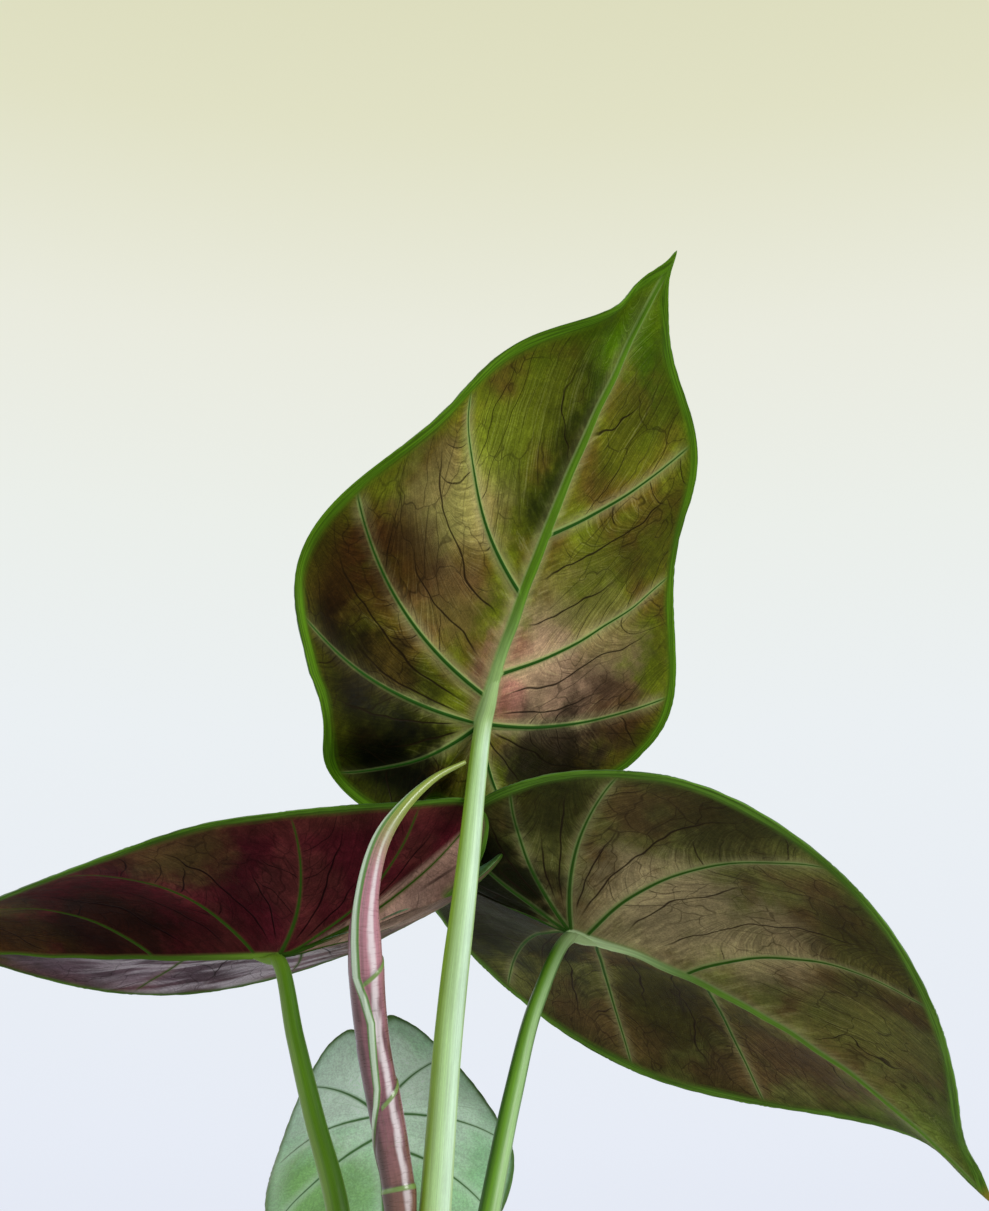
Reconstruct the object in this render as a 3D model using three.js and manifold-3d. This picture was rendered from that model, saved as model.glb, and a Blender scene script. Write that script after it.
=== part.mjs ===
// Potted green unicorn alocasia: a pot, its soil, a corm standing in the soil, four leaves on their own
// stems, and a fifth leaf that is still rolled beside the tallest stem.
// Millimetres, +Z up. The origin is the middle of the pot's base and the plant is seen from -Y.
import * as THREE from "three";
import { mergeVertices } from "three/addons/utils/BufferGeometryUtils.js";
import Module from "manifold-3d";

const wasm = await Module();
wasm.setup();

const GAP = 0.3; // between pieces that touch

// Pot: a plain tapered pot with a collar round its mouth
const POT_HEIGHT = 135;
const POT_BASE_RADIUS = 56;
const POT_TOP_RADIUS = 76;
const COLLAR_RADIUS = 81;
const COLLAR_HEIGHT = 26;
const POT_WALL = 5;
const POT_FLOOR = 8;
const POT_BEVEL = 2; // on the pot's outer edges
const COLLAR_INSET = 3; // of the body below the collar, from the pot's top radius
const TURNED_SIDES = 40;

// Soil, with a plain round hole for the corm
const SOIL_EDGE_HEIGHT = 119;
const SOIL_MIDDLE_HEIGHT = 122;
const SOIL_CROWN_RADIUS = 48; // the soil falls away to the wall outside this
const SOIL_CROWN_DROP = 1;
const CORM_RADIUS = 23;
const CORM_DEPTH = 40; // below the soil's surface
const CORM_TOP = 125;
const CORM_FOOT_INSET = 6;
const CORM_FOOT_RISE = 9;
const CORM_SHOULDER_DROP = 1; // below the soil's surface
const CORM_SHOULDER_INSET = 2.5;

// Stems
const STEM_SIDES = 12;
const STEM_STEPS = 22;
const STEM_SHARES = [0, 0.12, 0.6, 1]; // of a stem's length, where its radii are given
const SOCKET_DEPTH = 5; // how deep a stem stands in the corm
const END_REACH = 1.2; // the top face of a stem lies within this many top radii of its middle
const CUT_REACH = 4; // a stem is cut flat within this many top radii of its end

// Blades
const BLADE_THICKNESS = 1.2;
const LAST_SHARE = 0.975; // the last row of the outline before the tip
const COLUMN_COUNT = 17;
const SPINE_STATIONS = [0, 0.06, 0.14, 0.22, 0.31, 0.4, 0.5, 0.6, 0.7, 0.8, 0.9]; // along the midrib
const ROWS = [0.2, 0.36, 0.52, 0.68, 0.84, 1];
const RIB_HALF_WIDTH = 0.013; // of a side vein, as a share of the outline
const SIDE_RIB_HEIGHT = 1.5;
const MIDRIB_HALF_WIDTH = 3;
const MIDRIB_HEIGHT = 3.4;
const MIDRIB_TIP_HEIGHT = 0.5;
const MIDRIB_MOST_SHARE = 0.12; // of a vein near the notch that the midrib's half may cover
const MIDRIB_SHARE_GAIN = 0.1; // how much that share grows by the tip
const NOTCH_SHARE = 0.07; // of the outline, where both lobes still share the notch
const VEIN_BOW = 0.17; // how far a side vein bows from a straight line, as a share of its length
const BOW_EASE = 0.7; // how quickly the bow grows from the notch and from the tip
const FIRST_VEIN_REACH = 0.12; // veins that end behind this share of the length start at the attachment
const VEIN_CROWDING = 2.2; // how much the side veins crowd towards the attachment
const FOLD_LOSS = 0.75; // share of the fold that is lost by the tip
const CUP_WIDTH = 0.43; // distance from the midrib, in lengths, where the cup angle is reached
const PUCKER_ANGLE = 0.35; // radians from the notch where the pucker dies away
const CALM_SHARE = 0.22; // of the outline next to the tip, where the waves die away
const CALM_LOSS = 0.85; // share of the wave height that is lost by the tip

// Half of a blade's outline, from the notch between the lobes round a lobe to the tip. The first number
// is a share of the blade's length from the attachment, the second a share of its half width.
const OUTLINE = [
  [-0.27, 0],
  [-0.3, 0.045],
  [-0.335, 0.13],
  [-0.35, 0.26],
  [-0.32, 0.5],
  [-0.19, 0.77],
  [0, 0.95],
  [0.18, 1],
  [0.38, 0.93],
  [0.56, 0.74],
  [0.7, 0.5],
  [0.81, 0.26],
  [0.88, 0.12],
  [0.94, 0.05],
  [1, 0],
];

// Angles are in degrees. The left half of a blade is on the left when its tip points away and its upper
// face is up. A lobe folds more by lobeFold for each blade length behind the stem. Wave heights are shares
// of the length, and veins are shares of the outline. Swells widen the outline in two, three and more half
// waves along it.
const LEAVES = {
  tall: {
    colour: 0x59602e,
    attach: [26.1, -11.3, 407.6],
    yaw: -52.6,
    pitch: 61.5,
    roll: 1.3,
    length: 206.0,
    halfWidth: 0.406,
    lobe: { left: 0.67, right: 0.67 },
    fold: { left: 7.5, right: 21.2 },
    lobeFold: { left: 0, right: 0 },
    cup: -7.2,
    arch: -11.1,
    backArch: 58.8,
    bend: 6.4,
    twist: -4.9,
    pucker: 0.17,
    waves: 4.92,
    waveHeight: { left: 0.022, right: 0.048 },
    waveStart: { left: -3.78, right: -1.54 },
    swell: { left: [-0.05, 0.01, 0.01, -0.02, 0.06, -0.08], right: [0.02, 0.02, 0.02, 0.04, -0.02, -0.03] },
    veins: { left: [0.3, 0.5, 0.59, 0.71], right: [0.31, 0.47, 0.56, 0.66] },
    stemColour: 0xb4c78f,
    base: [5, -8],
    via: [
      [10.2, -14.5, 210],
      [15.5, -20, 285],
      [21.5, -25, 340],
    ],
    radii: [7, 6.3, 5.2, 3.5],
  },
  left: {
    colour: 0x50342f,
    attach: [-55.2, 35.8, 325.9],
    yaw: 155.5,
    pitch: 5.3,
    roll: 9.0,
    length: 208.4,
    halfWidth: 0.346,
    lobe: { left: 1.4, right: 1.32 },
    fold: { left: 36.7, right: 35.7 },
    lobeFold: { left: 0, right: 40 },
    cup: -18.2,
    arch: 4.2,
    backArch: 29.4,
    bend: 6.1,
    twist: -5.3,
    pucker: 0.24,
    waves: 1.58,
    waveHeight: { left: 0.070, right: 0.040 },
    waveStart: { left: -1.23, right: -1.52 },
    swell: { left: [], right: [-0.19, -0.02] },
    veins: { left: [0.23, 0.31, 0.39, 0.56, 0.67], right: [0.23, 0.36, 0.5, 0.63] },
    stemColour: 0x7d9156,
    base: [-13, 8],
    via: [
      [-26.5, 16, 221],
      [-37.5, 22, 258],
      [-46.5, 28, 290],
    ],
    radii: [6.4, 5.4, 4.2, 3.1],
  },
  right: {
    colour: 0x55522f,
    attach: [64.2, 57.4, 342.3],
    yaw: 15.8,
    pitch: -12.5,
    roll: -1.9,
    length: 219.9,
    halfWidth: 0.476,
    lobe: { left: 0.92, right: 0.85 },
    fold: { left: 19.8, right: 27.2 },
    lobeFold: { left: 0, right: 0 },
    cup: -14.0,
    arch: -27.6,
    backArch: 16.6,
    bend: 13.4,
    twist: -0.4,
    pucker: 0.10,
    waves: 1.67,
    waveHeight: { left: 0.049, right: 0.049 },
    waveStart: { left: -1.07, right: -2.95 },
    swell: { left: [], right: [] },
    veins: { left: [0.17, 0.43, 0.56, 0.67], right: [0.24, 0.32, 0.4, 0.54, 0.65] },
    stemColour: 0x86a35f,
    base: [11, 7],
    via: [
      [30, 27, 223],
      [38.9, 36, 268],
      [49.5, 47, 310],
    ],
    radii: [6, 5, 4, 2.8],
  },
  back: {
    colour: 0x9cbfa2,
    attach: [-15.5, 85.0, 271.1],
    yaw: -77.7,
    pitch: -62.5,
    roll: 13.8,
    length: 118.6,
    halfWidth: 0.419,
    lobe: { left: 1.20, right: 1.13 },
    fold: { left: 0.4, right: -6.6 },
    lobeFold: { left: 0, right: 0 },
    cup: -11.7,
    arch: 7.9,
    backArch: -4.0,
    bend: -3.6,
    twist: -4.1,
    pucker: 0.07,
    waves: 2.42,
    waveHeight: { left: 0.055, right: 0.036 },
    waveStart: { left: -0.56, right: -1.17 },
    swell: { left: [-0.04, -0.06, -0.02, 0.04], right: [-0.03, -0.03, 0.03] },
    veins: { left: [0.33, 0.48, 0.6], right: [0.34, 0.46, 0.58] },
    stemColour: 0xa9c69c,
    base: [-1, 15],
    via: [
      [-3, 32, 165],
      [-8, 86, 214],
      [-10, 106, 248],
    ],
    radii: [5, 4, 3.2, 2.4],
  },
};

// Rolled leaf: its middle line and its radius at shares of its length
const ROLL_COLOUR = 0x96706a;
const ROLL_LINE = [
  [-9, -8, 120],
  [-1.6, -16.5, 212],
  [-5.2, -21.5, 238],
  [-12.4, -34, 274],
  [-15.1, -47, 302],
  [-14.6, -54, 321],
  [-10.1, -57.5, 340],
  [-2.5, -56.5, 354],
  [9.5, -50.5, 369],
  [20.7, -44, 378],
];
const ROLL_RADIUS = [
  [0, 5.4],
  [0.32, 5.2],
  [0.37, 6],
  [0.42, 6.2],
  [0.56, 6.1],
  [0.65, 6.4],
  [0.69, 6],
  [0.75, 4.3],
  [0.82, 3.2],
  [0.88, 2.1],
  [1, 0.8],
];
const ROLL_SIDES = 16;
const ROLL_STEPS = 34;
const ROLL_LAP = 0.1; // how far the outer edge stands off the turn below it, as a share of the radius
const ROLL_TURNS = 2.2; // how often that edge goes round from the base to the tip
const ROLL_EDGE_TURN = 0.97; // share of a turn covered before the outer edge steps down

// Sheath at the foot of the tallest stem, round the rolled leaf
const SHEATH_TOP = 192;
const SHEATH_FOOT_RISE = 1.5; // above the corm
const SHEATH_NARROWING = 0.25; // share of its radii lost by the top
const SHEATH_LONG_RADIUS = 14.2;
const SHEATH_SHORT_RADIUS = 8.2;
const SHEATH_SIDES = 28;
const SHEATH_STEPS = 10;

// A geometry whose corners are shared and that has no triangle without area
function joined(geometry) {
  const plain = new THREE.BufferGeometry();
  plain.setAttribute("position", geometry.getAttribute("position"));
  plain.setIndex(geometry.index);
  const merged = mergeVertices(plain, 1e-3);
  const corners = merged.index.array;
  const kept = [];
  for (let i = 0; i < corners.length; i += 3) {
    const [p, q, r] = corners.slice(i, i + 3);
    if (p !== q && q !== r && r !== p) kept.push(p, q, r);
  }
  merged.setIndex(kept);
  return merged;
}

function toSolid(geometry) {
  const { attributes, index } = joined(geometry);
  return new wasm.Manifold(
    new wasm.Mesh({
      numProp: 3,
      vertProperties: new Float32Array(attributes.position.array),
      triVerts: new Uint32Array(index.array),
    }),
  );
}

function fromSolid(solid) {
  const { vertProperties, triVerts } = solid.getMesh();
  const geometry = new THREE.BufferGeometry();
  geometry.setAttribute("position", new THREE.BufferAttribute(vertProperties, 3));
  geometry.setIndex(Array.from(triVerts));
  return geometry;
}

function node(name, geometry, color, roughness) {
  geometry.computeVertexNormals();
  const material = new THREE.MeshStandardMaterial({ color, roughness, metalness: 0 });
  const mesh = new THREE.Mesh(geometry, material);
  mesh.name = name;
  return mesh;
}

// A shape turned about +Z from its [radius, height] profile, given from the bottom up its outside
function turned(profile) {
  const points = profile.map(([radius, height]) => new THREE.Vector2(radius, height));
  return joined(new THREE.LatheGeometry(points, TURNED_SIDES).rotateX(Math.PI / 2));
}

function potGeometry() {
  const inside = POT_TOP_RADIUS - POT_WALL;
  return turned([
    [0, 0],
    [POT_BASE_RADIUS - POT_BEVEL, 0],
    [POT_BASE_RADIUS, POT_BEVEL],
    [POT_TOP_RADIUS - COLLAR_INSET, POT_HEIGHT - COLLAR_HEIGHT - POT_BEVEL],
    [COLLAR_RADIUS - POT_BEVEL, POT_HEIGHT - COLLAR_HEIGHT],
    [COLLAR_RADIUS, POT_HEIGHT - COLLAR_HEIGHT + POT_BEVEL],
    [COLLAR_RADIUS, POT_HEIGHT - POT_BEVEL],
    [COLLAR_RADIUS - POT_BEVEL, POT_HEIGHT],
    [inside + POT_BEVEL / 2, POT_HEIGHT],
    [inside, POT_HEIGHT - POT_BEVEL],
    [potInsideRadius(POT_FLOOR), POT_FLOOR],
    [0, POT_FLOOR],
  ]);
}

function potInsideRadius(height) {
  const top = POT_TOP_RADIUS - POT_WALL;
  const bottom = POT_BASE_RADIUS - POT_WALL;
  const share = (height - POT_FLOOR) / (POT_HEIGHT - POT_BEVEL - POT_FLOOR);
  return bottom + (top - bottom) * share;
}

function soilGeometry() {
  const hole = CORM_RADIUS + GAP;
  const holeFloor = SOIL_MIDDLE_HEIGHT - CORM_DEPTH - GAP;
  const bottom = POT_FLOOR + GAP;
  return turned([
    [0, bottom],
    [potInsideRadius(bottom) - GAP, bottom],
    [potInsideRadius(SOIL_EDGE_HEIGHT) - GAP, SOIL_EDGE_HEIGHT],
    [SOIL_CROWN_RADIUS, SOIL_MIDDLE_HEIGHT - SOIL_CROWN_DROP],
    [hole, SOIL_MIDDLE_HEIGHT],
    [hole, holeFloor],
    [0, holeFloor],
  ]);
}

function cormGeometry() {
  return turned([
    [0, SOIL_MIDDLE_HEIGHT - CORM_DEPTH],
    [CORM_RADIUS - CORM_FOOT_INSET, SOIL_MIDDLE_HEIGHT - CORM_DEPTH],
    [CORM_RADIUS, SOIL_MIDDLE_HEIGHT - CORM_DEPTH + CORM_FOOT_RISE],
    [CORM_RADIUS, SOIL_MIDDLE_HEIGHT - CORM_SHOULDER_DROP],
    [CORM_RADIUS - CORM_SHOULDER_INSET, CORM_TOP],
    [0, CORM_TOP],
  ]);
}

// The value at a share between 0 and 1, from [share, value] pairs
function between(pairs, share) {
  let k = 1;
  while (k < pairs.length - 1 && pairs[k][0] < share) k++;
  const [s0, v0] = pairs[k - 1];
  const [s1, v1] = pairs[k];
  return v0 + ((v1 - v0) * (share - s0)) / (s1 - s0);
}

// A closed tube along a curve. radii gives the two radii at a share of the curve and a share of a turn.
function tube(curve, sides, steps, radii) {
  const geometry = new THREE.CylinderGeometry(1, 1, 1, sides, steps);
  const place = geometry.getAttribute("position");
  const sideways = new THREE.Vector3(1, 0, 0);
  for (let i = 0; i < place.count; i++) {
    const along = place.getY(i) + 0.5;
    const fromMiddle = Math.hypot(place.getX(i), place.getZ(i));
    const turn = Math.atan2(place.getX(i), place.getZ(i)) / (2 * Math.PI);
    const [wide, deep, angle] = radii(along, turn - Math.floor(turn + 1e-6));
    const tangent = curve.getTangentAt(along);
    const back = sideways.clone().cross(tangent).normalize();
    const side = tangent.clone().cross(back);
    const point = curve.getPointAt(along);
    point.addScaledVector(side, fromMiddle * wide * Math.sin(angle));
    point.addScaledVector(back, fromMiddle * deep * Math.cos(angle));
    place.setXYZ(i, point.x, point.y, point.z);
  }
  return joined(geometry);
}

function smoothLine(points) {
  return new THREE.CatmullRomCurve3(points.map((p) => new THREE.Vector3(...p)));
}

// Blade shape

function bladeAxes(leaf) {
  const rotation = new THREE.Matrix4().makeRotationZ(THREE.MathUtils.degToRad(leaf.yaw));
  rotation.multiply(new THREE.Matrix4().makeRotationY(-THREE.MathUtils.degToRad(leaf.pitch)));
  rotation.multiply(new THREE.Matrix4().makeRotationX(THREE.MathUtils.degToRad(leaf.roll)));
  return rotation;
}

// The point at a share of one half's outline, as shares of the blade's length
function outlinePoint(leaf, side, share) {
  const place = Math.min(Math.max(share, 0), 1) * (OUTLINE.length - 1);
  const k = Math.min(Math.floor(place), OUTLINE.length - 2);
  const f = place - k;
  const end = (near, far) => [2 * near[0] - far[0], 2 * near[1] - far[1]];
  const before = OUTLINE[k - 1] ?? end(OUTLINE[k], OUTLINE[k + 1]);
  const after = OUTLINE[k + 2] ?? end(OUTLINE[k + 1], OUTLINE[k]);
  const [x, y] = [0, 1].map((axis) => {
    const [a, b, c, d] = [before, OUTLINE[k], OUTLINE[k + 1], after].map((p) => p[axis]);
    const curved = 2 * a - 5 * b + 4 * c - d;
    return 0.5 * (2 * b + (c - a) * f + curved * f * f + (3 * b - a - 3 * c + d) * f ** 3);
  });
  const shared = (leaf.lobe.left + leaf.lobe.right) / 2;
  const lobe = shared + (leaf.lobe[side] - shared) * Math.min(share / NOTCH_SHARE, 1);
  const swell = leaf.swell[side].reduce(
    (sum, height, i) => sum + height * Math.sin((i + 2) * Math.PI * share),
    1,
  );
  return [x < 0 ? x * lobe : x, y * leaf.halfWidth * swell];
}

// Where on the midrib the vein starts that ends at outline distance x
function veinStart(x) {
  const share = (x - FIRST_VEIN_REACH) / (1 - FIRST_VEIN_REACH);
  return Math.min(Math.max(share, 0), 1) ** VEIN_CROWDING;
}

// The flat point of a half at share u of the outline and share v of the vein that ends there
function flatPoint(leaf, side, u, v) {
  const [endX, endY] = outlinePoint(leaf, side, u);
  const startX = veinStart(endX);
  const bow = Math.min(VEIN_BOW * Math.sin(Math.PI * u) ** BOW_EASE, endY);
  const middleX = (startX + endX) / 2 - bow * endY;
  const middleY = endY / 2 + bow * (endX - startX);
  const x = (1 - v) ** 2 * startX + 2 * v * (1 - v) * middleX + v * v * endX;
  const y = 2 * v * (1 - v) * middleY + v * v * endY;
  return [x, y];
}

// That point on the blade, in the part's frame
function bladePoint(leaf, side, u, v) {
  const [x, y] = flatPoint(leaf, side, u, v);
  return foldedPoint(leaf, side, x, y, u, v);
}

// A flat point moved to where it lies once the blade is folded, waved and bent
function foldedPoint(leaf, side, x, y, u, v) {
  const radians = THREE.MathUtils.degToRad;
  const forward = Math.min(Math.max(x, 0), 1);
  const foldAngle = radians(leaf.fold[side]) * (1 - FOLD_LOSS * forward ** 1.5);
  const lobeFold = radians(leaf.lobeFold[side]) * Math.max(-x, 0);
  const angle = foldAngle + lobeFold + (radians(leaf.cup) * y) / CUP_WIDTH;
  const fromAttach = Math.hypot(x, y);
  const fromNotch = Math.atan2(y, -x);
  const calm = Math.max((u - 1 + CALM_SHARE) / CALM_SHARE, 0) ** 2;
  const wave = (1 - CALM_LOSS * calm) * Math.sin(2 * Math.PI * leaf.waves * u + leaf.waveStart[side]);
  let across = y * Math.cos(angle) * (side === "left" ? 1 : -1);
  let up = y * Math.sin(angle);
  up += leaf.pucker * fromAttach * Math.exp(-((fromNotch / PUCKER_ANGLE) ** 2));
  up += leaf.waveHeight[side] * Math.sin(Math.PI * u) ** 0.5 * v * v * wave;
  const twist = radians(leaf.twist) * x;
  [across, up] = [
    across * Math.cos(twist) - up * Math.sin(twist),
    across * Math.sin(twist) + up * Math.cos(twist),
  ];
  const archRate = radians(x > 0 ? leaf.arch : leaf.backArch);
  const archX = x * Math.cos((archRate * x) / 2) - up * Math.sin(archRate * x);
  const archZ = x * Math.sin((archRate * x) / 2) + up * Math.cos(archRate * x);
  const bendRate = radians(leaf.bend);
  const bentX = archX * Math.cos((bendRate * archX) / 2) - across * Math.sin(bendRate * archX);
  const bentY = archX * Math.sin((bendRate * archX) / 2) + across * Math.cos(bendRate * archX);
  return new THREE.Vector3(bentX, bentY, archZ)
    .multiplyScalar(leaf.length)
    .applyMatrix4(bladeAxes(leaf))
    .add(new THREE.Vector3(...leaf.attach));
}

// Shares of the outline where a blade has columns of corners: even ones and three for each vein
function bladeColumns(veins) {
  const shares = [];
  for (let i = 0; i < COLUMN_COUNT; i++) {
    const share = (LAST_SHARE * i) / (COLUMN_COUNT - 1);
    if (veins.every((vein) => Math.abs(vein - share) > 2 * RIB_HALF_WIDTH)) shares.push([share, 0]);
  }
  for (const vein of veins) {
    shares.push([vein - RIB_HALF_WIDTH, 0], [vein, SIDE_RIB_HEIGHT], [vein + RIB_HALF_WIDTH, 0]);
  }
  return shares.sort((a, b) => a[0] - b[0]);
}

// A blade is one sheet of corners, thickened both ways along its normals, with ribs on its lower face.
// Both halves share the corners along the midrib and along the short seam behind the attachment.
function bladeGeometry(leaf) {
  const corners = [];
  const ribs = [];
  const triangles = [];

  function corner(side, u, v, rib) {
    ribs.push(rib);
    return corners.push(bladePoint(leaf, side, u, v)) - 1;
  }

  function spineCorner(x) {
    ribs.push(MIDRIB_HEIGHT + (MIDRIB_TIP_HEIGHT - MIDRIB_HEIGHT) * x);
    return corners.push(foldedPoint(leaf, "left", x, 0, 0, 0)) - 1;
  }

  const spine = SPINE_STATIONS.map(spineCorner);
  const tip = spineCorner(1);
  let seam;
  for (const side of ["left", "right"]) {
    const columns = bladeColumns(leaf.veins[side]).map(([u, ribHeight]) => {
      if (u === 0 && seam) return seam;
      const [endX, endY] = outlinePoint(leaf, side, u);
      const startX = veinStart(endX);
      const veinLength = leaf.length * Math.hypot(endX - startX, endY);
      const most = MIDRIB_MOST_SHARE + MIDRIB_SHARE_GAIN * u;
      const first = Math.min(MIDRIB_HALF_WIDTH / veinLength, most);
      const inward = [first, ...ROWS].map((v) => corner(side, u, v, ribHeight * (1 - v)));
      const column = { station: nearestStation(startX), inward };
      if (u === 0) seam = column;
      return column;
    });
    columns.at(-1).station = spine.length - 1;
    const face = (p, q, r) => triangles.push(...(side === "left" ? [p, q, r] : [p, r, q]));
    columns.forEach(({ station, inward }, i) => {
      const next = columns[i + 1] ?? { station, inward: inward.map(() => tip) };
      for (let k = station; k < next.station; k++) face(spine[k], spine[k + 1], inward[0]);
      face(spine[next.station], next.inward[0], inward[0]);
      for (let row = 0; row < inward.length - 1; row++) {
        face(inward[row], next.inward[row], next.inward[row + 1]);
        face(inward[row], next.inward[row + 1], inward[row + 1]);
      }
    });
  }
  return thickened(corners, ribs, triangles);
}

// The place in SPINE_STATIONS nearest to x
function nearestStation(x) {
  const distances = SPINE_STATIONS.map((station) => Math.abs(station - x));
  return distances.indexOf(Math.min(...distances));
}

// A closed solid from a sheet: its upper face, its lower face and the wall round its edge
function thickened(corners, ribs, triangles) {
  const sheet = new THREE.BufferGeometry().setFromPoints(corners);
  const real = [];
  for (let i = 0; i < triangles.length; i += 3) {
    const [p, q, r] = triangles.slice(i, i + 3);
    if (p !== q && q !== r && r !== p) real.push(p, q, r);
  }
  sheet.setIndex(real);
  sheet.computeVertexNormals();
  const normals = sheet.getAttribute("normal");
  const count = corners.length;
  const points = corners.map((p) => p.clone());
  corners.forEach((p, i) => {
    const normal = new THREE.Vector3().fromBufferAttribute(normals, i);
    points[i].addScaledVector(normal, BLADE_THICKNESS / 2);
    points.push(p.clone().addScaledVector(normal, -BLADE_THICKNESS / 2 - ribs[i]));
  });
  const faces = [];
  const edges = new Set();
  for (let i = 0; i < real.length; i += 3) {
    const [p, q, r] = real.slice(i, i + 3);
    faces.push(p, q, r, p + count, r + count, q + count);
    for (const [from, to] of [[p, q], [q, r], [r, p]]) edges.add(from + " " + to);
  }
  for (const edge of edges) {
    const [from, to] = edge.split(" ").map(Number);
    if (edges.has(to + " " + from)) continue;
    faces.push(to, from, from + count, to, from + count, to + count);
  }
  const geometry = new THREE.BufferGeometry().setFromPoints(points);
  geometry.setIndex(faces);
  return geometry;
}

// A stem runs from its socket in the corm to the blade's lower face, where it is cut to lie flat
function stemGeometry(leaf, clearance = 0) {
  const normal = new THREE.Vector3(0, 0, 1).applyMatrix4(bladeAxes(leaf));
  const attach = new THREE.Vector3(...leaf.attach);
  const depth = BLADE_THICKNESS / 2 + MIDRIB_HEIGHT + GAP;
  const end = attach.clone().addScaledVector(normal, -depth);
  const foot = [...leaf.base, CORM_TOP - SOCKET_DEPTH - clearance];
  const curve = smoothLine([foot, ...leaf.via, end.toArray()]);
  const radius = STEM_SHARES.map((share, k) => [share, leaf.radii[k]]);
  const topRadius = leaf.radii.at(-1);
  const geometry = tube(curve, STEM_SIDES, STEM_STEPS, (along, turn) => {
    const r = between(radius, along) + clearance;
    return [r, r, turn * 2 * Math.PI];
  });
  const place = geometry.getAttribute("position");
  const tangent = curve.getTangentAt(1);
  const point = new THREE.Vector3();
  for (let i = 0; i < place.count; i++) {
    point.fromBufferAttribute(place, i);
    const atEnd = point.distanceTo(end) < END_REACH * topRadius + clearance;
    const over = point.clone().sub(end).dot(normal);
    const last = atEnd && Math.abs(point.clone().sub(end).dot(tangent)) < 1e-3;
    if (last || (over > 0 && point.distanceTo(end) < CUT_REACH * topRadius)) {
      point.addScaledVector(tangent, -over / tangent.dot(normal));
      place.setXYZ(i, point.x, point.y, point.z);
    }
  }
  return geometry;
}

function rollGeometry(clearance = 0) {
  const line = ROLL_LINE.map((p) => [...p]);
  line[0][2] -= clearance;
  return tube(smoothLine(line), ROLL_SIDES, ROLL_STEPS, (along, turn) => {
    const lap = Math.min((turn * ROLL_SIDES) / (ROLL_SIDES - 1), 1);
    const r = between(ROLL_RADIUS, along) * (1 + ROLL_LAP * lap) + clearance;
    return [r, r, 2 * Math.PI * (ROLL_EDGE_TURN * lap + ROLL_TURNS * along)];
  });
}

// The tallest stem with the sheath that wraps the rolled leaf's foot
function sheathedStem() {
  const stem = LEAVES.tall;
  const [rollFoot, rollNext] = ROLL_LINE;
  const middle = (p, q, height) => [(p[0] + q[0]) / 2, (p[1] + q[1]) / 2, height];
  const foot = middle(stem.base, rollFoot, CORM_TOP + SHEATH_FOOT_RISE);
  const top = middle(stem.via[0], rollNext, SHEATH_TOP);
  const sheath = tube(smoothLine([foot, top]), SHEATH_SIDES, SHEATH_STEPS, (along, turn) => {
    const narrowing = 1 - SHEATH_NARROWING * along ** 3;
    return [SHEATH_LONG_RADIUS * narrowing, SHEATH_SHORT_RADIUS * narrowing, turn * 2 * Math.PI];
  });
  const whole = toSolid(stemGeometry(stem)).add(toSolid(sheath));
  return fromSolid(whole.subtract(toSolid(rollGeometry(GAP))));
}

function socketedCorm() {
  let solid = toSolid(cormGeometry());
  for (const leaf of Object.values(LEAVES)) {
    solid = solid.subtract(toSolid(stemGeometry(leaf, GAP)));
  }
  solid = solid.subtract(toSolid(rollGeometry(GAP)));
  return fromSolid(solid);
}

const plant = new THREE.Group();
plant.add(node("pot", potGeometry(), 0xb5714f, 0.75));
plant.add(node("soil", soilGeometry(), 0x3a2c22, 0.95));
plant.add(node("corm", socketedCorm(), 0x6d5a3d, 0.8));
for (const [name, leaf] of Object.entries(LEAVES)) {
  const stem = leaf === LEAVES.tall ? sheathedStem() : stemGeometry(leaf);
  plant.add(node("stem_" + name, stem, leaf.stemColour, 0.4));
  plant.add(node("leaf_" + name, bladeGeometry(leaf), leaf.colour, 0.45));
}
plant.add(node("leaf_rolled", rollGeometry(), ROLL_COLOUR, 0.25));

export default plant;
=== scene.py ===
"""Dresses a potted green unicorn alocasia: blades with veins, stems, a rolled leaf, a corm, soil and a pot.

Lengths are in millimetres until a mesh is made, and +Z is up. The plant is seen from -Y, from low down.
Colours are red, green and blue on a screen, from 0 to 255.
"""

import math
from types import SimpleNamespace

import bpy
import numpy as np
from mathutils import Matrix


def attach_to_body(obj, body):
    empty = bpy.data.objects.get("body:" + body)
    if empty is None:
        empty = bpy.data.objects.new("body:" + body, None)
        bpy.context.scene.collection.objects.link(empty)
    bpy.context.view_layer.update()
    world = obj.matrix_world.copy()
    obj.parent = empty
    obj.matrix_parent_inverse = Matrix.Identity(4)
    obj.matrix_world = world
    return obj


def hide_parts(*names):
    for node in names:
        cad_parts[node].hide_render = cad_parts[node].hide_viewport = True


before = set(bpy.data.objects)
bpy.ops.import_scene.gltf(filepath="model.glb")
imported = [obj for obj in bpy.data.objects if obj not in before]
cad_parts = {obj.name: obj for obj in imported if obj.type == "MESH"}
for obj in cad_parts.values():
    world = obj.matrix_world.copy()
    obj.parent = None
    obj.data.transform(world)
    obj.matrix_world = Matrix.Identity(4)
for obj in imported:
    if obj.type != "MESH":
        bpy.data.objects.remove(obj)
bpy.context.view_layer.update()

MM = 0.001

# Camera
PHOTO_WIDTH = 989
PHOTO_HEIGHT = 1211
FOCAL_PIXELS = 2070
SENSOR = 36
CAMERA_PLACE = (32, -780, 85.5)
CAMERA_TILT = 26  # degrees above the horizon

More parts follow.
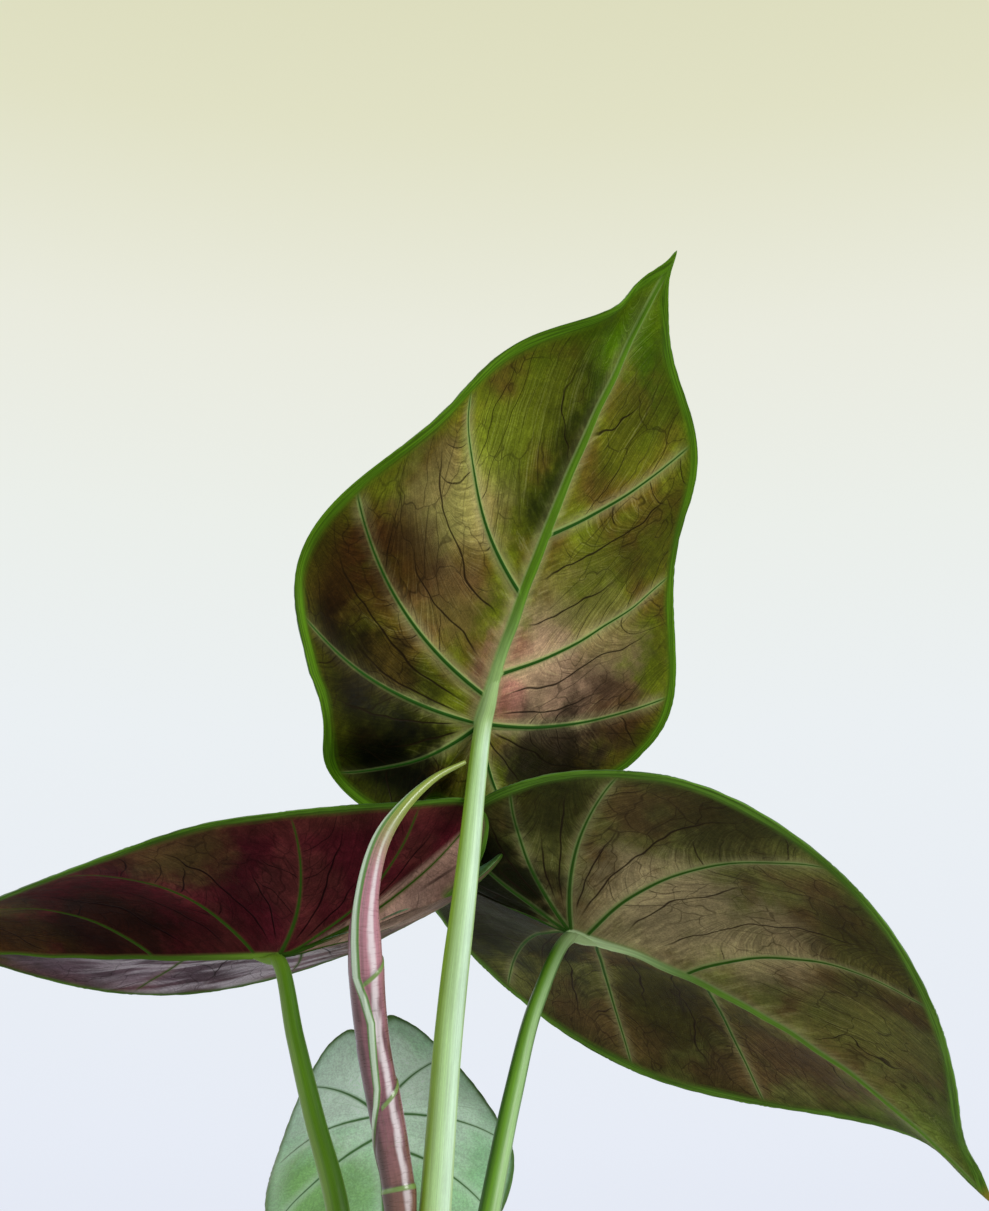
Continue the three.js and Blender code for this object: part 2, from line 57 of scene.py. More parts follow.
# Blade shape, as in the part's source
OUTLINE = np.array([
    (-0.27, 0), (-0.3, 0.045), (-0.335, 0.13), (-0.35, 0.26), (-0.32, 0.5), (-0.19, 0.77), (0, 0.95),
    (0.18, 1), (0.38, 0.93), (0.56, 0.74), (0.7, 0.5), (0.81, 0.26), (0.88, 0.12), (0.94, 0.05), (1, 0),
])
NOTCH_SHARE = 0.07
VEIN_BOW = 0.17
VEIN_BOW_EASE = 0.7
STEM_REACH = 0.12  # side veins that end behind this share of the length start at the stem
VEIN_START_EASE = 2.2
FOLD_LOSS = 0.75  # share of the fold that is gone at the tip
CUP_WIDTH = 0.43
PUCKER_WIDTH = 0.35
CALM_SHARE = 0.22
CALM_LOSS = 0.85
LEFT, RIGHT = 0, 1

# Blade detail
BLADE_THICKNESS = 1.0
BLADE_COLUMNS = 182
COLUMN_SPACING = 0.3
INNER_ROWS = 50
INNER_ROW_EASE = 1.35
EDGE_ROWS = (1.6, 1.1, 0.75, 0.5, 0.3, 0.15, 0.05, 0)  # distances from the margin
EDGE_ROUNDING = 0.5
VEIN_COLUMNS = (-2.6, -1.7, -1.1, -0.6, 0, 0.6, 1.1, 1.7, 2.6)  # at the margin, from a vein's middle
MIDRIB_HEIGHT = 2.8
MIDRIB_HALF_WIDTH = 3.6
SIDE_RIB_HEIGHT = 1.3
SIDE_RIB_HALF_WIDTH = 1.5
RIB_LENGTH = 210  # a blade this long has ribs of these sizes
GROOVE_SHARE = 0.3  # of a rib's height, sunk in the upper face
QUILT_HEIGHT = 0.9  # of the blade between two side veins
MARGIN_SWELL = 0.25
# Height and wavelength of what is uneven in a blade's sheet and on its faces
SHEET_WAVES = (0.35, 34)
FACE_WAVES = (0.05, 3.1)


class Leaf(SimpleNamespace):
    """A leaf's measures. Angles are in degrees, and pairs give the left half and then the right half."""
    lobe_fold = (0, 0)


LEAVES = {
    "tall": Leaf(
        seed=37, attach=(26.1, -11.3, 407.6), yaw=-52.6, pitch=61.5, roll=1.3,
        length=206.0, half_width=0.406, lobe=(0.67, 0.67), fold=(7.5, 21.2),
        cup=-7.2, arch=-11.1, back_arch=58.8, bend=6.4, twist=-4.9, pucker=0.17,
        waves=4.92, wave_height=(0.022, 0.048), wave_start=(-3.78, -1.54),
        swell=((-0.05, 0.01, 0.01, -0.02, 0.06, -0.08), (0.02, 0.02, 0.02, 0.04, -0.02, -0.03)),
        veins=((0.3, 0.5, 0.59, 0.71), (0.31, 0.47, 0.56, 0.66)),
        foot=(5, -8), via=[(10.2, -14.5, 210), (15.5, -20, 285), (21.5, -25, 340)],
        radii=(7, 6.3, 5.2, 3.5), rib=1,
    ),
    "left": Leaf(
        seed=74, attach=(-55.2, 35.8, 325.9), yaw=155.5, pitch=5.3, roll=9.0,
        length=208.4, half_width=0.346, lobe=(1.4, 1.32), fold=(36.7, 35.7), lobe_fold=(0, 40),
        cup=-18.2, arch=4.2, back_arch=29.4, bend=6.1, twist=-5.3, pucker=0.24,
        waves=1.58, wave_height=(0.070, 0.040), wave_start=(-1.23, -1.52),
        swell=((), (-0.19, -0.02)),
        veins=((0.23, 0.31, 0.39, 0.56, 0.67), (0.23, 0.36, 0.5, 0.63)),
        foot=(-13, 8), via=[(-26.5, 16, 221), (-37.5, 22, 258), (-46.5, 28, 290)],
        radii=(6.4, 5.4, 4.2, 3.1), rib=0.6,
    ),
    "right": Leaf(
        seed=111, attach=(64.2, 57.4, 342.3), yaw=15.8, pitch=-12.5, roll=-1.9,
        length=219.9, half_width=0.476, lobe=(0.92, 0.85), fold=(19.8, 27.2),
        cup=-14.0, arch=-27.6, back_arch=16.6, bend=13.4, twist=-0.4, pucker=0.10,
        waves=1.67, wave_height=(0.049, 0.049), wave_start=(-1.07, -2.95),
        swell=((), ()),
        veins=((0.17, 0.43, 0.56, 0.67), (0.24, 0.32, 0.4, 0.54, 0.65)),
        foot=(11, 7), via=[(30, 27, 223), (38.9, 36, 268), (49.5, 47, 310)],
        radii=(6, 5, 4, 2.8), rib=0.8,
    ),
    "back": Leaf(
        seed=148, attach=(-15.5, 85.0, 271.1), yaw=-77.7, pitch=-62.5, roll=13.8,
        length=118.6, half_width=0.419, lobe=(1.20, 1.13), fold=(0.4, -6.6),
        cup=-11.7, arch=7.9, back_arch=-4.0, bend=-3.6, twist=-4.1, pucker=0.07,
        waves=2.42, wave_height=(0.055, 0.036), wave_start=(-0.56, -1.17),
        swell=((-0.04, -0.06, -0.02, 0.04), (-0.03, -0.03, 0.03)),
        veins=((0.33, 0.48, 0.6), (0.34, 0.46, 0.58)),
        foot=(-1, 15), via=[(-3, 32, 165), (-8, 86, 214), (-10, 106, 248)],
        radii=(5, 4, 3.2, 2.4), rib=0.9,
    ),
}

# Stems
STEM_SHARES = (0, 0.12, 0.6, 1)  # of a stem's length, where its radii are given
STEM_FOOT_HEIGHT = 120
STEM_SIDES = 40
STEM_STEPS = 170
# A stem's top runs on inside the midrib: how far along it, how deep below the blade's middle, its radius
STEM_END = [(0, 2.6, 1), (9, 1.9, 0.85), (20, 0.9, 0.55)]

# Rolled leaf: its middle line, and its radius at shares of its length
ROLL_LINE = [
    (-9, -8, 120), (-1.6, -16.5, 212), (-5.2, -21.5, 238), (-12.4, -34, 274), (-15.1, -47, 302),
    (-14.6, -54, 321), (-10.1, -57.5, 340), (-2.5, -56.5, 354), (9.5, -50.5, 369), (20.7, -44, 378),
]
ROLL_RADIUS = [
    (0, 5.4), (0.32, 5.2), (0.37, 6), (0.42, 6.2), (0.56, 6.1), (0.65, 6.4), (0.69, 6), (0.75, 4.3),
    (0.82, 3.2), (0.88, 2.1), (1, 0.8),
]
ROLL_SIDES = 96
ROLL_STEPS = 330
# The rolled leaf's midrib: degrees round from the front towards +X, at shares of the length
ROLL_RIB = [
    (0.3, -150), (0.38, -115), (0.42, -88), (0.45, -56), (0.48, -24), (0.5, -10), (0.55, 0), (0.585, 6),
    (0.62, -10), (0.645, -31), (0.7, -38), (0.76, -50), (0.84, -58), (1, -60),
]
ROLL_RIB_HALF_WIDTH = [(0.3, 1.1), (0.5, 1.3), (0.6, 1.5), (0.66, 1.8), (0.76, 1.8), (0.84, 1.5), (1, 0.8)]
ROLL_RIB_HEIGHT = 0.7
ROLL_CREASE = 0.5  # depth of the fold beside the midrib
# Edges that wind round the roll: share of the length and degrees where each starts, rise each turn
ROLL_EDGES = [(0.637, -10, 0.097), (0.476, -10, 0.1), (0.369, -170, 0.006)]
ROLL_EDGE_STEP = 0.55
ROLL_EDGE_FADE = 13  # how far below an edge its step dies away
FAR = 99  # stands for a distance from an edge that isn't near

# Sheath at the foot of the tallest stem
SHEATH_TOP = 192
SHEATH_FOOT = 126.5
SHEATH_LONG_RADIUS = 14.2
SHEATH_SHORT_RADIUS = 8.2
SHEATH_NARROWING = 0.25
SHEATH_LIP = 3
SHEATH_STEPS = 60

# Pot, soil and corm, as in the part's source
POT_HEIGHT = 135
POT_BASE_RADIUS = 56
POT_TOP_RADIUS = 76
COLLAR_RADIUS = 81
COLLAR_HEIGHT = 26
POT_WALL = 5
POT_FLOOR = 8
POT_SIDES = 192
GAP = 0.3
SOIL_EDGE_HEIGHT = 119
SOIL_MIDDLE_HEIGHT = 122
SOIL_SLOPE_RADIUS = 48
SOIL_SIDES = 300
SOIL_WAVES = [(0.8, 14, 1), (0.5, 5, 2), (0.35, 2.2, 3)]  # heights, wavelengths and seeds
CORM_RADIUS = 23
CORM_DEPTH = 40
CORM_TOP = 125
CORM_SIDES = 160

# Crumbs in the soil: the mark of each kind, how often it comes, and its least and greatest size
CRUMB, BARK_CHIP, PERLITE = 0.25, 0.5, 1.0
CRUMB_KINDS = {CRUMB: (0.56, 0.8, 2.0), BARK_CHIP: (0.3, 1.2, 2.8), PERLITE: (0.14, 0.8, 1.6)}
CRUMB_COUNT = 620
CRUMB_CORNERS = [(0, 0, 1), (0, 0, -1), (1, 0, 0), (-1, 0, 0), (0, 1, 0), (0, -1, 0)]
CRUMB_FACES = [(0, 2, 4), (0, 4, 3), (0, 3, 5), (0, 5, 2), (1, 4, 2), (1, 3, 4), (1, 5, 3), (1, 2, 5)]


# Numbers and curves

def between(pairs, share):
    """Values at given shares, from (share, value) pairs."""
    return np.interp(share, *zip(*pairs))


def smoothstep(value, low, high):
    """Eases from 0 to 1 as the value goes from low to high."""
    t = np.clip((value - low) / (high - low), 0, 1)
    return t * t * (3 - 2 * t)


def stacked(*parts):
    """Arrays stretched to one shape and stacked as the last axis."""
    return np.stack(np.broadcast_arrays(*parts), -1)


def ripple(points, wavelength, seed):
    """A smooth random height between about -1 and 1 for each point, with waves of about that length."""
    rng = np.random.default_rng(seed)
    total = np.zeros(points.shape[:-1])
    waves = 9
    for _ in range(waves):
        direction = rng.normal(size=points.shape[-1])
        direction *= rng.uniform(0.7, 1.5) / np.linalg.norm(direction)
        total += np.sin(points @ direction * 2 * math.pi / wavelength + rng.uniform(0, 2 * math.pi))
    return total / math.sqrt(waves)


def with_ends(points):
    """The points with one more beyond each end, so that a curve can pass through them all."""
    return np.vstack([2 * points[0] - points[1], points, 2 * points[-1] - points[-2]])


def smooth_line(points, steps):
    """Points at even steps along a centripetal Catmull-Rom curve through the given points."""
    points = np.array(points, float)
    ends = with_ends(points)
    gaps = np.sqrt(np.linalg.norm(np.diff(ends, axis=0), axis=1))
    place = np.linspace(0, len(points) - 1, 3001)
    k = np.minimum(place.astype(int), len(points) - 2)
    f = (place - k)[:, None]
    p0, p1, p2, p3 = (ends[k + i] for i in range(4))
    g0, g1, g2 = (gaps[k + i][:, None] for i in range(3))
    out = ((p1 - p0) / g0 - (p2 - p0) / (g0 + g1) + (p2 - p1) / g1) * g1
    into = ((p2 - p1) / g1 - (p3 - p1) / (g1 + g2) + (p3 - p2) / g2) * g1
    line = p1 + out * f + (3 * (p2 - p1) - 2 * out - into) * f**2 + (out + into - 2 * (p2 - p1)) * f**3
    length = np.concatenate([[0], np.cumsum(np.linalg.norm(np.diff(line, axis=0), axis=1))])
    even = np.linspace(0, length[-1], steps + 1)
    return np.stack([np.interp(even, length, line[:, axis]) for axis in range(3)], 1), length[-1]


# Meshes

def make_mesh(name, points, faces, attributes, materials, slots=None):
    """A smooth shaded object from points in millimetres, with named attributes of one or three values."""
    mesh = bpy.data.meshes.new(name)
    mesh.from_pydata((np.asarray(points) * MM).tolist(), [], faces)
    for attribute_name, values in attributes.items():
        values = np.asarray(values, np.float32)
        if values.ndim == 1:
            mesh.attributes.new(attribute_name, "FLOAT", "POINT").data.foreach_set("value", values)
        else:
            data = mesh.attributes.new(attribute_name, "FLOAT_VECTOR", "POINT").data
            data.foreach_set("vector", values.ravel())
    for material in materials:
        mesh.materials.append(material)
    if slots is not None:
        mesh.polygons.foreach_set("material_index", np.asarray(slots, np.int32))
    mesh.polygons.foreach_set("use_smooth", np.ones(len(mesh.polygons), bool))
    mesh.update()
    made = bpy.data.objects.new(name, mesh)
    bpy.context.scene.collection.objects.link(made)
    return made


def place_piece(piece, node):
    """The piece stands for the node of the same kind: that node is hidden and the piece hangs from the root
    body.
    """
    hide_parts(node)
    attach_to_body(piece, "root")


# Blade surface

def outline_point(leaf, side, share):
    """Flat x and y, as shares of the blade's length, at shares of one half's outline."""
    ends = with_ends(OUTLINE)
    place = share * (len(OUTLINE) - 1)
    k = np.minimum(place.astype(int), len(OUTLINE) - 2)
    f = (place - k)[:, None]
    a, b, c, d = (ends[k + i] for i in range(4))
    curved = 2 * a - 5 * b + 4 * c - d
    x, y = 0.5 * (2 * b + (c - a) * f + curved * f**2 + (3 * b - a - 3 * c + d) * f**3).T
    shared = sum(leaf.lobe) / 2
    lobe = shared + (leaf.lobe[side] - shared) * np.minimum(share / NOTCH_SHARE, 1)
    swell = 1 + sum(height * np.sin((i + 2) * math.pi * share) for i, height in enumerate(leaf.swell[side]))
    return np.where(x < 0, x * lobe, x), y * leaf.half_width * swell


def vein_start(end_x):
    """How far along the midrib a side vein starts, from where it ends, as shares of the length."""
    return np.clip((end_x - STEM_REACH) / (1 - STEM_REACH), 0, 1) ** VEIN_START_EASE


def flat_point(leaf, side, u, v):
    """Flat x and y at shares u of the outline (one a column) and v of the vein that ends there (a grid)."""
    end_x, end_y = (values[:, None] for values in outline_point(leaf, side, u))
    start_x = vein_start(end_x)
    bow = np.minimum(VEIN_BOW * np.sin(math.pi * u[:, None]) ** VEIN_BOW_EASE, end_y)
    middle_x = (start_x + end_x) / 2 - bow * end_y
    middle_y = end_y / 2 + bow * (end_x - start_x)
    x = (1 - v) ** 2 * start_x + 2 * v * (1 - v) * middle_x + v * v * end_x
    y = 2 * v * (1 - v) * middle_y + v * v * end_y
    return x, y


def blade_axes(leaf):
    """The blade's own x, y and z axes as columns."""
    yaw, pitch, roll = (math.radians(angle) for angle in (leaf.yaw, leaf.pitch, leaf.roll))
    x = np.array([math.cos(yaw) * math.cos(pitch), math.sin(yaw) * math.cos(pitch), math.sin(pitch)])
    level = np.array([-math.sin(yaw), math.cos(yaw), 0])
    y = math.cos(roll) * level + math.sin(roll) * np.cross(x, level)
    return np.stack([x, y, np.cross(x, y)], 1)


def turned(a, b, angle):
    """Both coordinates of a point, turned by an angle."""
    return a * np.cos(angle) - b * np.sin(angle), a * np.sin(angle) + b * np.cos(angle)


def curled(along, off, curl):
    """A point along a sheet and off it, once the sheet curls by an angle for each unit of its length."""
    return (along * np.cos(curl * along / 2) - off * np.sin(curl * along),
            along * np.sin(curl * along / 2) + off * np.cos(curl * along))


def folded_point(leaf, side, x, y, u, v):
    """Flat points moved to where they lie once the blade is folded, waved and bent."""
    fold = math.radians(leaf.fold[side]) * (1 - FOLD_LOSS * np.clip(x, 0, 1) ** 1.5)
    lobe_fold = math.radians(leaf.lobe_fold[side]) * np.clip(-x, 0, None)
    angle = fold + lobe_fold + math.radians(leaf.cup) * y / CUP_WIDTH
    calm = np.clip((u - 1 + CALM_SHARE) / CALM_SHARE, 0, 1) ** 2
    wave = (1 - CALM_LOSS * calm) * np.sin(2 * math.pi * leaf.waves * u + leaf.wave_start[side])
    across = y * np.cos(angle) * (1 if side == LEFT else -1)
    up = y * np.sin(angle)
    up = up + leaf.pucker * np.hypot(x, y) * np.exp(-((np.arctan2(y, -x) / PUCKER_WIDTH) ** 2))
    up = up + leaf.wave_height[side] * np.sin(math.pi * u) ** 0.5 * v * v * wave
    across, up = turned(across, up, math.radians(leaf.twist) * x)
    arch = np.radians(np.where(x > 0, leaf.arch, leaf.back_arch))
    arched_x, arched_z = curled(x, up, arch)
    bent_x, bent_y = curled(arched_x, across, math.radians(leaf.bend))
    local = np.stack([bent_x, bent_y, arched_z], -1) * leaf.length
    return local @ blade_axes(leaf).T + np.array(leaf.attach)


def blade_columns(leaf):
    """Shares of the outline with a column of corners, the same for both halves."""
    x, y = outline_point(leaf, LEFT, np.linspace(0, 1, 400))
    around = leaf.length * np.hypot(np.diff(x), np.diff(y)).sum()
    near = np.array([vein + step / around for half in leaf.veins for vein in half for step in VEIN_COLUMNS])
    spacing = COLUMN_SPACING / around
    even = np.linspace(0, 1, BLADE_COLUMNS + 1)
    even = [u for u in even if u in (0, 1) or np.abs(near - u).min() > spacing * 2]
    columns = np.sort(np.concatenate([even, near]))
    return columns[np.concatenate([[True], np.diff(columns) > spacing])]


def column_width(along, u):
    """How far apart the columns are at each corner, in millimetres for one whole outline."""
    rate_u = np.gradient(along, u, axis=0)
    step_v = np.gradient(along, axis=1)
    step_v /= np.linalg.norm(step_v, axis=-1, keepdims=True) + 1e-9
    return np.abs(rate_u[..., 0] * step_v[..., 1] - rate_u[..., 1] * step_v[..., 0])


def blade_half(leaf, side, u):
    """A half's corners on the blade's middle sheet, with what its ribs and its colours need at each."""
    end_x, end_y = outline_point(leaf, side, u)
    vein_length = leaf.length * np.hypot(end_x - vein_start(end_x), end_y) + 1e-6
    edge_rows = np.minimum(np.array(EDGE_ROWS) / vein_length[:, None], np.linspace(0.3, 0, len(EDGE_ROWS)))
    inner_rows = np.linspace(0, 1, INNER_ROWS, endpoint=False) ** INNER_ROW_EASE
    v = np.hstack([inner_rows * (1 - edge_rows[:, :1]), 1 - edge_rows])
    x, y = flat_point(leaf, side, u, v)
    column = u[:, None] + 0 * v
    along = leaf.length * np.stack([x, y], -1)
    width = column_width(along, u)

    veins = np.array(leaf.veins[side])
    vein = np.abs(column[..., None] - veins).min(-1) * width
    borders = np.concatenate([[0], veins, [1]])
    bay = np.clip(np.searchsorted(borders, column, side="right") - 1, 0, len(borders) - 2)
    bay_share = borders[bay + 1] - borders[bay]
    midrib = leaf.length * np.where(x > 0, y, np.hypot(x, y))
    outline = leaf.length * np.stack(outline_point(leaf, side, np.linspace(0, 1, 500)), -1)
    edge = np.array([np.linalg.norm(outline - p, axis=-1).min() for p in along.reshape(-1, 2)])
    edge = edge.reshape(v.shape) * (v < 1)
    sign = 1 if side == LEFT else -1
    return {
        "points": folded_point(leaf, side, x, y, column, v),
        "flat": stacked(along[..., 0], sign * along[..., 1], leaf.seed),
        "grid": stacked(column + side, v, bay * 7.3 + side * 3.1),
        "lines": stacked(vein, midrib, edge),
        "bay": stacked((column - borders[bay]) / bay_share, v * vein_length[:, None], width * bay_share),
    }


def rib_height(leaf, corners):
    """How far the ribs stand out of the lower face."""
    forward = np.clip(corners["flat"][:, 0] / leaf.length, 0, 1)
    v = corners["grid"][:, 1]
    vein, midrib, edge = corners["lines"].T
    size = leaf.rib * leaf.length / RIB_LENGTH
    half_width = size * MIDRIB_HALF_WIDTH * (1 - 0.75 * forward**0.8)
    middle = size * MIDRIB_HEIGHT * (1 - 0.9 * forward**0.7)
    middle = middle * np.clip(1 - (midrib / half_width) ** 2, 0, 1) ** 1.5
    side_width = size * SIDE_RIB_HALF_WIDTH * (1.15 - v)
    sides = size * SIDE_RIB_HEIGHT * np.clip(1 - v * 1.08, 0, 1)
    sides = sides * np.clip(1 - (vein / side_width) ** 2, 0, 1) ** 1.5
    return np.maximum(middle, sides) * smoothstep(edge, 0.5, 4)


def triangulated(index, flip):
    """Triangles over a grid of corner numbers, without those that have no area."""
    a, b, c, d = index[:-1, :-1], index[1:, :-1], index[1:, 1:], index[:-1, 1:]
    triangles = np.concatenate([np.stack(corners, -1).reshape(-1, 3) for corners in ((a, b, c), (a, c, d))])
    p, q, r = triangles.T
    triangles = triangles[(p != q) & (q != r) & (r != p)]
    return triangles[:, ::-1] if flip else triangles


def blade_sheet(leaf):
    """The blade's middle sheet: what each corner holds, and its triangles. The halves share the midrib."""
    u = blade_columns(leaf)
    halves = [blade_half(leaf, side, u) for side in (LEFT, RIGHT)]
    rows = halves[0]["points"].shape[1]
    count = len(u) * rows
    index = [first + np.arange(count).reshape(len(u), rows) for first in (0, count)]
    index[LEFT][outline_point(leaf, LEFT, u)[0] <= STEM_REACH, 0] = 0
    index[LEFT][-1, :] = index[LEFT][-1, 0]
    index[RIGHT][:, 0] = index[LEFT][:, 0]
    index[RIGHT][0, :] = index[LEFT][0, :]
    index[RIGHT][-1, :] = index[LEFT][-1, 0]
    triangles = np.concatenate([triangulated(index[LEFT], False), triangulated(index[RIGHT], True)])
    used, triangles = np.unique(triangles, return_inverse=True)
    corners = {}
    for key in halves[0]:
        corners[key] = np.concatenate([half[key].reshape(count, 3) for half in halves])[used]
    return corners, triangles.reshape(-1, 3)


def corner_normals(points, triangles):
    a, b, c = (points[triangles[:, i]] for i in range(3))
    facing = np.cross(b - a, c - a)
    normals = np.zeros_like(points)
    for i in range(3):
        np.add.at(normals, triangles[:, i], facing)
    return normals / (np.linalg.norm(normals, axis=1, keepdims=True) + 1e-12)


def blade(name, leaf, upper_material, lower_material):
    """A closed blade: an upper face with grooves, a lower face with ribs, and a rounded margin."""
    corners, triangles = blade_sheet(leaf)
    points = corners.pop("points")
    normals = corner_normals(points, triangles)
    flat = corners["flat"][:, :2]
    across = corners["bay"][:, 0]
    v = corners["grid"][:, 1]
    edge = corners["lines"][:, 2]
    inside = smoothstep(edge, 0, 12)
    quilt = np.sin(math.pi * across) ** 2 * np.sin(math.pi * np.clip(v, 0, 1)) * inside
    shift = QUILT_HEIGHT * quilt + SHEET_WAVES[0] * ripple(flat, SHEET_WAVES[1], leaf.seed) * inside
    points = points + normals * shift[:, None]
    rib = rib_height(leaf, corners)
    rounding = np.sqrt(np.clip(1 - (1 - np.clip(edge / EDGE_ROUNDING, 0, 1)) ** 2, 0, 1))
    swell = MARGIN_SWELL * np.exp(-((edge - 1.6) / 1.1) ** 2)
    half = (BLADE_THICKNESS / 2 + swell) * rounding
    half = half + FACE_WAVES[0] * ripple(flat, FACE_WAVES[1], leaf.seed + 1) * rounding
    above = points + normals * (half - GROOVE_SHARE * rib)[:, None]
    below = points - normals * (half + rib)[:, None]
    number = np.arange(len(points))
    on_margin = edge <= 0
    lower_number = np.where(on_margin, number, len(points) + number)
    kept = ~on_margin[triangles].all(1)
    both = np.concatenate([triangles, lower_number[triangles][kept, ::-1]])
    slots = np.concatenate([np.zeros(len(triangles)), np.ones(int(kept.sum()))])
    used, both = np.unique(both, return_inverse=True)
    attributes = {key: np.concatenate([values] * 2)[used] for key, values in corners.items()}
    faces = both.reshape(-1, 3).tolist()
    materials = [upper_material, lower_material]
    return make_mesh(name, np.concatenate([above, below])[used], faces, attributes, materials, slots)


# Tubes

def tube_points(line, radii, angle):
    """Rings of points round a line. An angle of 0 faces -Y and a quarter turn faces +X."""
    tangent = np.gradient(line, axis=0)
    tangent /= np.linalg.norm(tangent, axis=1, keepdims=True)
    back = np.cross([1.0, 0, 0], tangent)
    back /= np.linalg.norm(back, axis=1, keepdims=True)
    side = np.cross(tangent, back)
    angle = angle[None, :, None]
    return line[:, None] + radii[..., None] * (np.sin(angle) * side[:, None] + np.cos(angle) * back[:, None])


def tube_faces(steps, sides):
    """Faces of a tube with steps + 1 rings and two end points, numbered ring by ring."""
    faces = []
    for step in range(steps):
        for k in range(sides):
            a, b = step * sides + k, step * sides + (k + 1) % sides
            faces.append((a, b, b + sides, a + sides))
    bottom = (steps + 1) * sides
    top = bottom + 1
    last = steps * sides
    for k in range(sides):
        faces.append((bottom, (k + 1) % sides, k))
        faces.append((top, last + k, last + (k + 1) % sides))
    return faces


def tube(line, length, radii, extra=None):
    """A closed tube: its corners, its faces and what each corner holds, such as how far along it lies."""
    steps, sides = radii.shape[0] - 1, radii.shape[1]
    angle = 2 * math.pi * np.arange(sides) / sides
    points = np.vstack([tube_points(line, radii, angle).reshape(-1, 3), line[0], line[-1]])
    place = stacked(np.cos(angle), np.sin(angle), np.linspace(0, length, steps + 1)[:, None])
    attributes = {"place": np.vstack([place.reshape(-1, 3), (0, 0, 0), (0, 0, length)])}
    for key, values in (extra or {}).items():
        attributes[key] = np.vstack([values.reshape(-1, 3), values[0, 0], values[-1, 0]])
    return points, tube_faces(steps, sides), attributes


def stem_line(leaf):
    """A stem's middle line, which ends inside the midrib, its length, and its length up to the blade."""
    axes = blade_axes(leaf)
    attach = np.array(leaf.attach)
    ends = [attach + ahead * leaf.rib * axes[:, 0] - deep * axes[:, 2] for ahead, deep, _ in STEM_END]
    foot = (*leaf.foot, STEM_FOOT_HEIGHT)
    line, length = smooth_line([foot, *leaf.via, *ends], STEM_STEPS)
    _, free_length = smooth_line([foot, *leaf.via, ends[0]], STEM_STEPS)
    return line, length, free_length


def stem_tube(leaf):
    line, length, free_length = stem_line(leaf)
    along = np.linspace(0, length, STEM_STEPS + 1)
    radius = np.interp(along / free_length, STEM_SHARES, leaf.radii)
    ahead, _, shares = np.array(STEM_END).T
    radius = radius * np.interp(along - free_length, ahead * leaf.rib, shares ** (1 / leaf.rib**2))
    angle = 2 * math.pi * np.arange(STEM_SIDES) / STEM_SIDES
    lumps = stacked(6 * np.cos(angle), 6 * np.sin(angle), 0.12 * along[:, None])
    return tube(line, length, radius[:, None] * (1 + 0.012 * ripple(lumps, 5, leaf.seed)))


def sheath_tube():
    """The sheath at the foot of the tallest stem, which also wraps the rolled leaf's foot."""
    stem_foot, stem_next = LEAVES["tall"].foot, LEAVES["tall"].via[0]
    roll_foot, roll_next = ROLL_LINE[:2]
    foot = [(a + b) / 2 for a, b in zip(stem_foot, roll_foot[:2])] + [SHEATH_FOOT]
    top = [(a + b) / 2 for a, b in zip(stem_next[:2], roll_next[:2])] + [SHEATH_TOP]
    line, length = smooth_line([foot, top], SHEATH_STEPS)
    share = np.linspace(0, 1, SHEATH_STEPS + 1)[:, None]
    angle = (np.arange(STEM_SIDES * 2) * math.pi / STEM_SIDES)[None]
    lip = np.clip((share * length - length + SHEATH_LIP) / SHEATH_LIP, 0, 1)
    narrowing = (1 - SHEATH_NARROWING * share**3) * np.sqrt(1 - 0.5 * lip**2)
    oval = (np.sin(angle) / SHEATH_LONG_RADIUS) ** 2 + (np.cos(angle) / SHEATH_SHORT_RADIUS) ** 2
    grooves = 0.12 * np.sin(9 * angle + 0.6 * np.sin(5 * share)) + 0.1 * np.sin(17 * angle + 1)
    return tube(line, length, narrowing / np.sqrt(oval) + grooves)


def together(shapes):
    """One shape from several, each with its corners, faces and attributes."""
    points, faces, count = [], [], 0
    for shape_points, shape_faces, _ in shapes:
        faces += [tuple(corner + count for corner in face) for face in shape_faces]
        points.append(shape_points)
        count += len(shape_points)
    attributes = {key: np.concatenate([shape[2][key] for shape in shapes]) for key in shapes[0][2]}
    return np.vstack(points), faces, attributes


def stem(name, leaf, material):
    shapes = [stem_tube(leaf)]
    if leaf is LEAVES["tall"]:
        shapes.append(sheath_tube())
    return make_mesh(name, *together(shapes), [material])


# Rolled leaf

def winding_edges(degrees, share, length):
    """The steps that the winding edges raise, and how far each point lies below the nearest edge."""
    below = FAR + 0 * (degrees + share)
    step = 0 * below
    for start, start_degrees, rise in ROLL_EDGES:
        around = (degrees - start_degrees) % 360
        distance = (start + rise * around / 360 - share) * length
        shown = 1 - smoothstep(around, 230, 330) if rise > 0.01 else 1
        fade = np.exp(-np.clip(distance, 0, None) / ROLL_EDGE_FADE)
        step = step + ROLL_EDGE_STEP * shown * smoothstep(distance, -0.5, 0.5) * fade
        distance = np.where(np.asarray(shown) > 0.3, distance, FAR)
        below = np.where(np.abs(distance) < np.abs(below), distance, below)
    return step, below


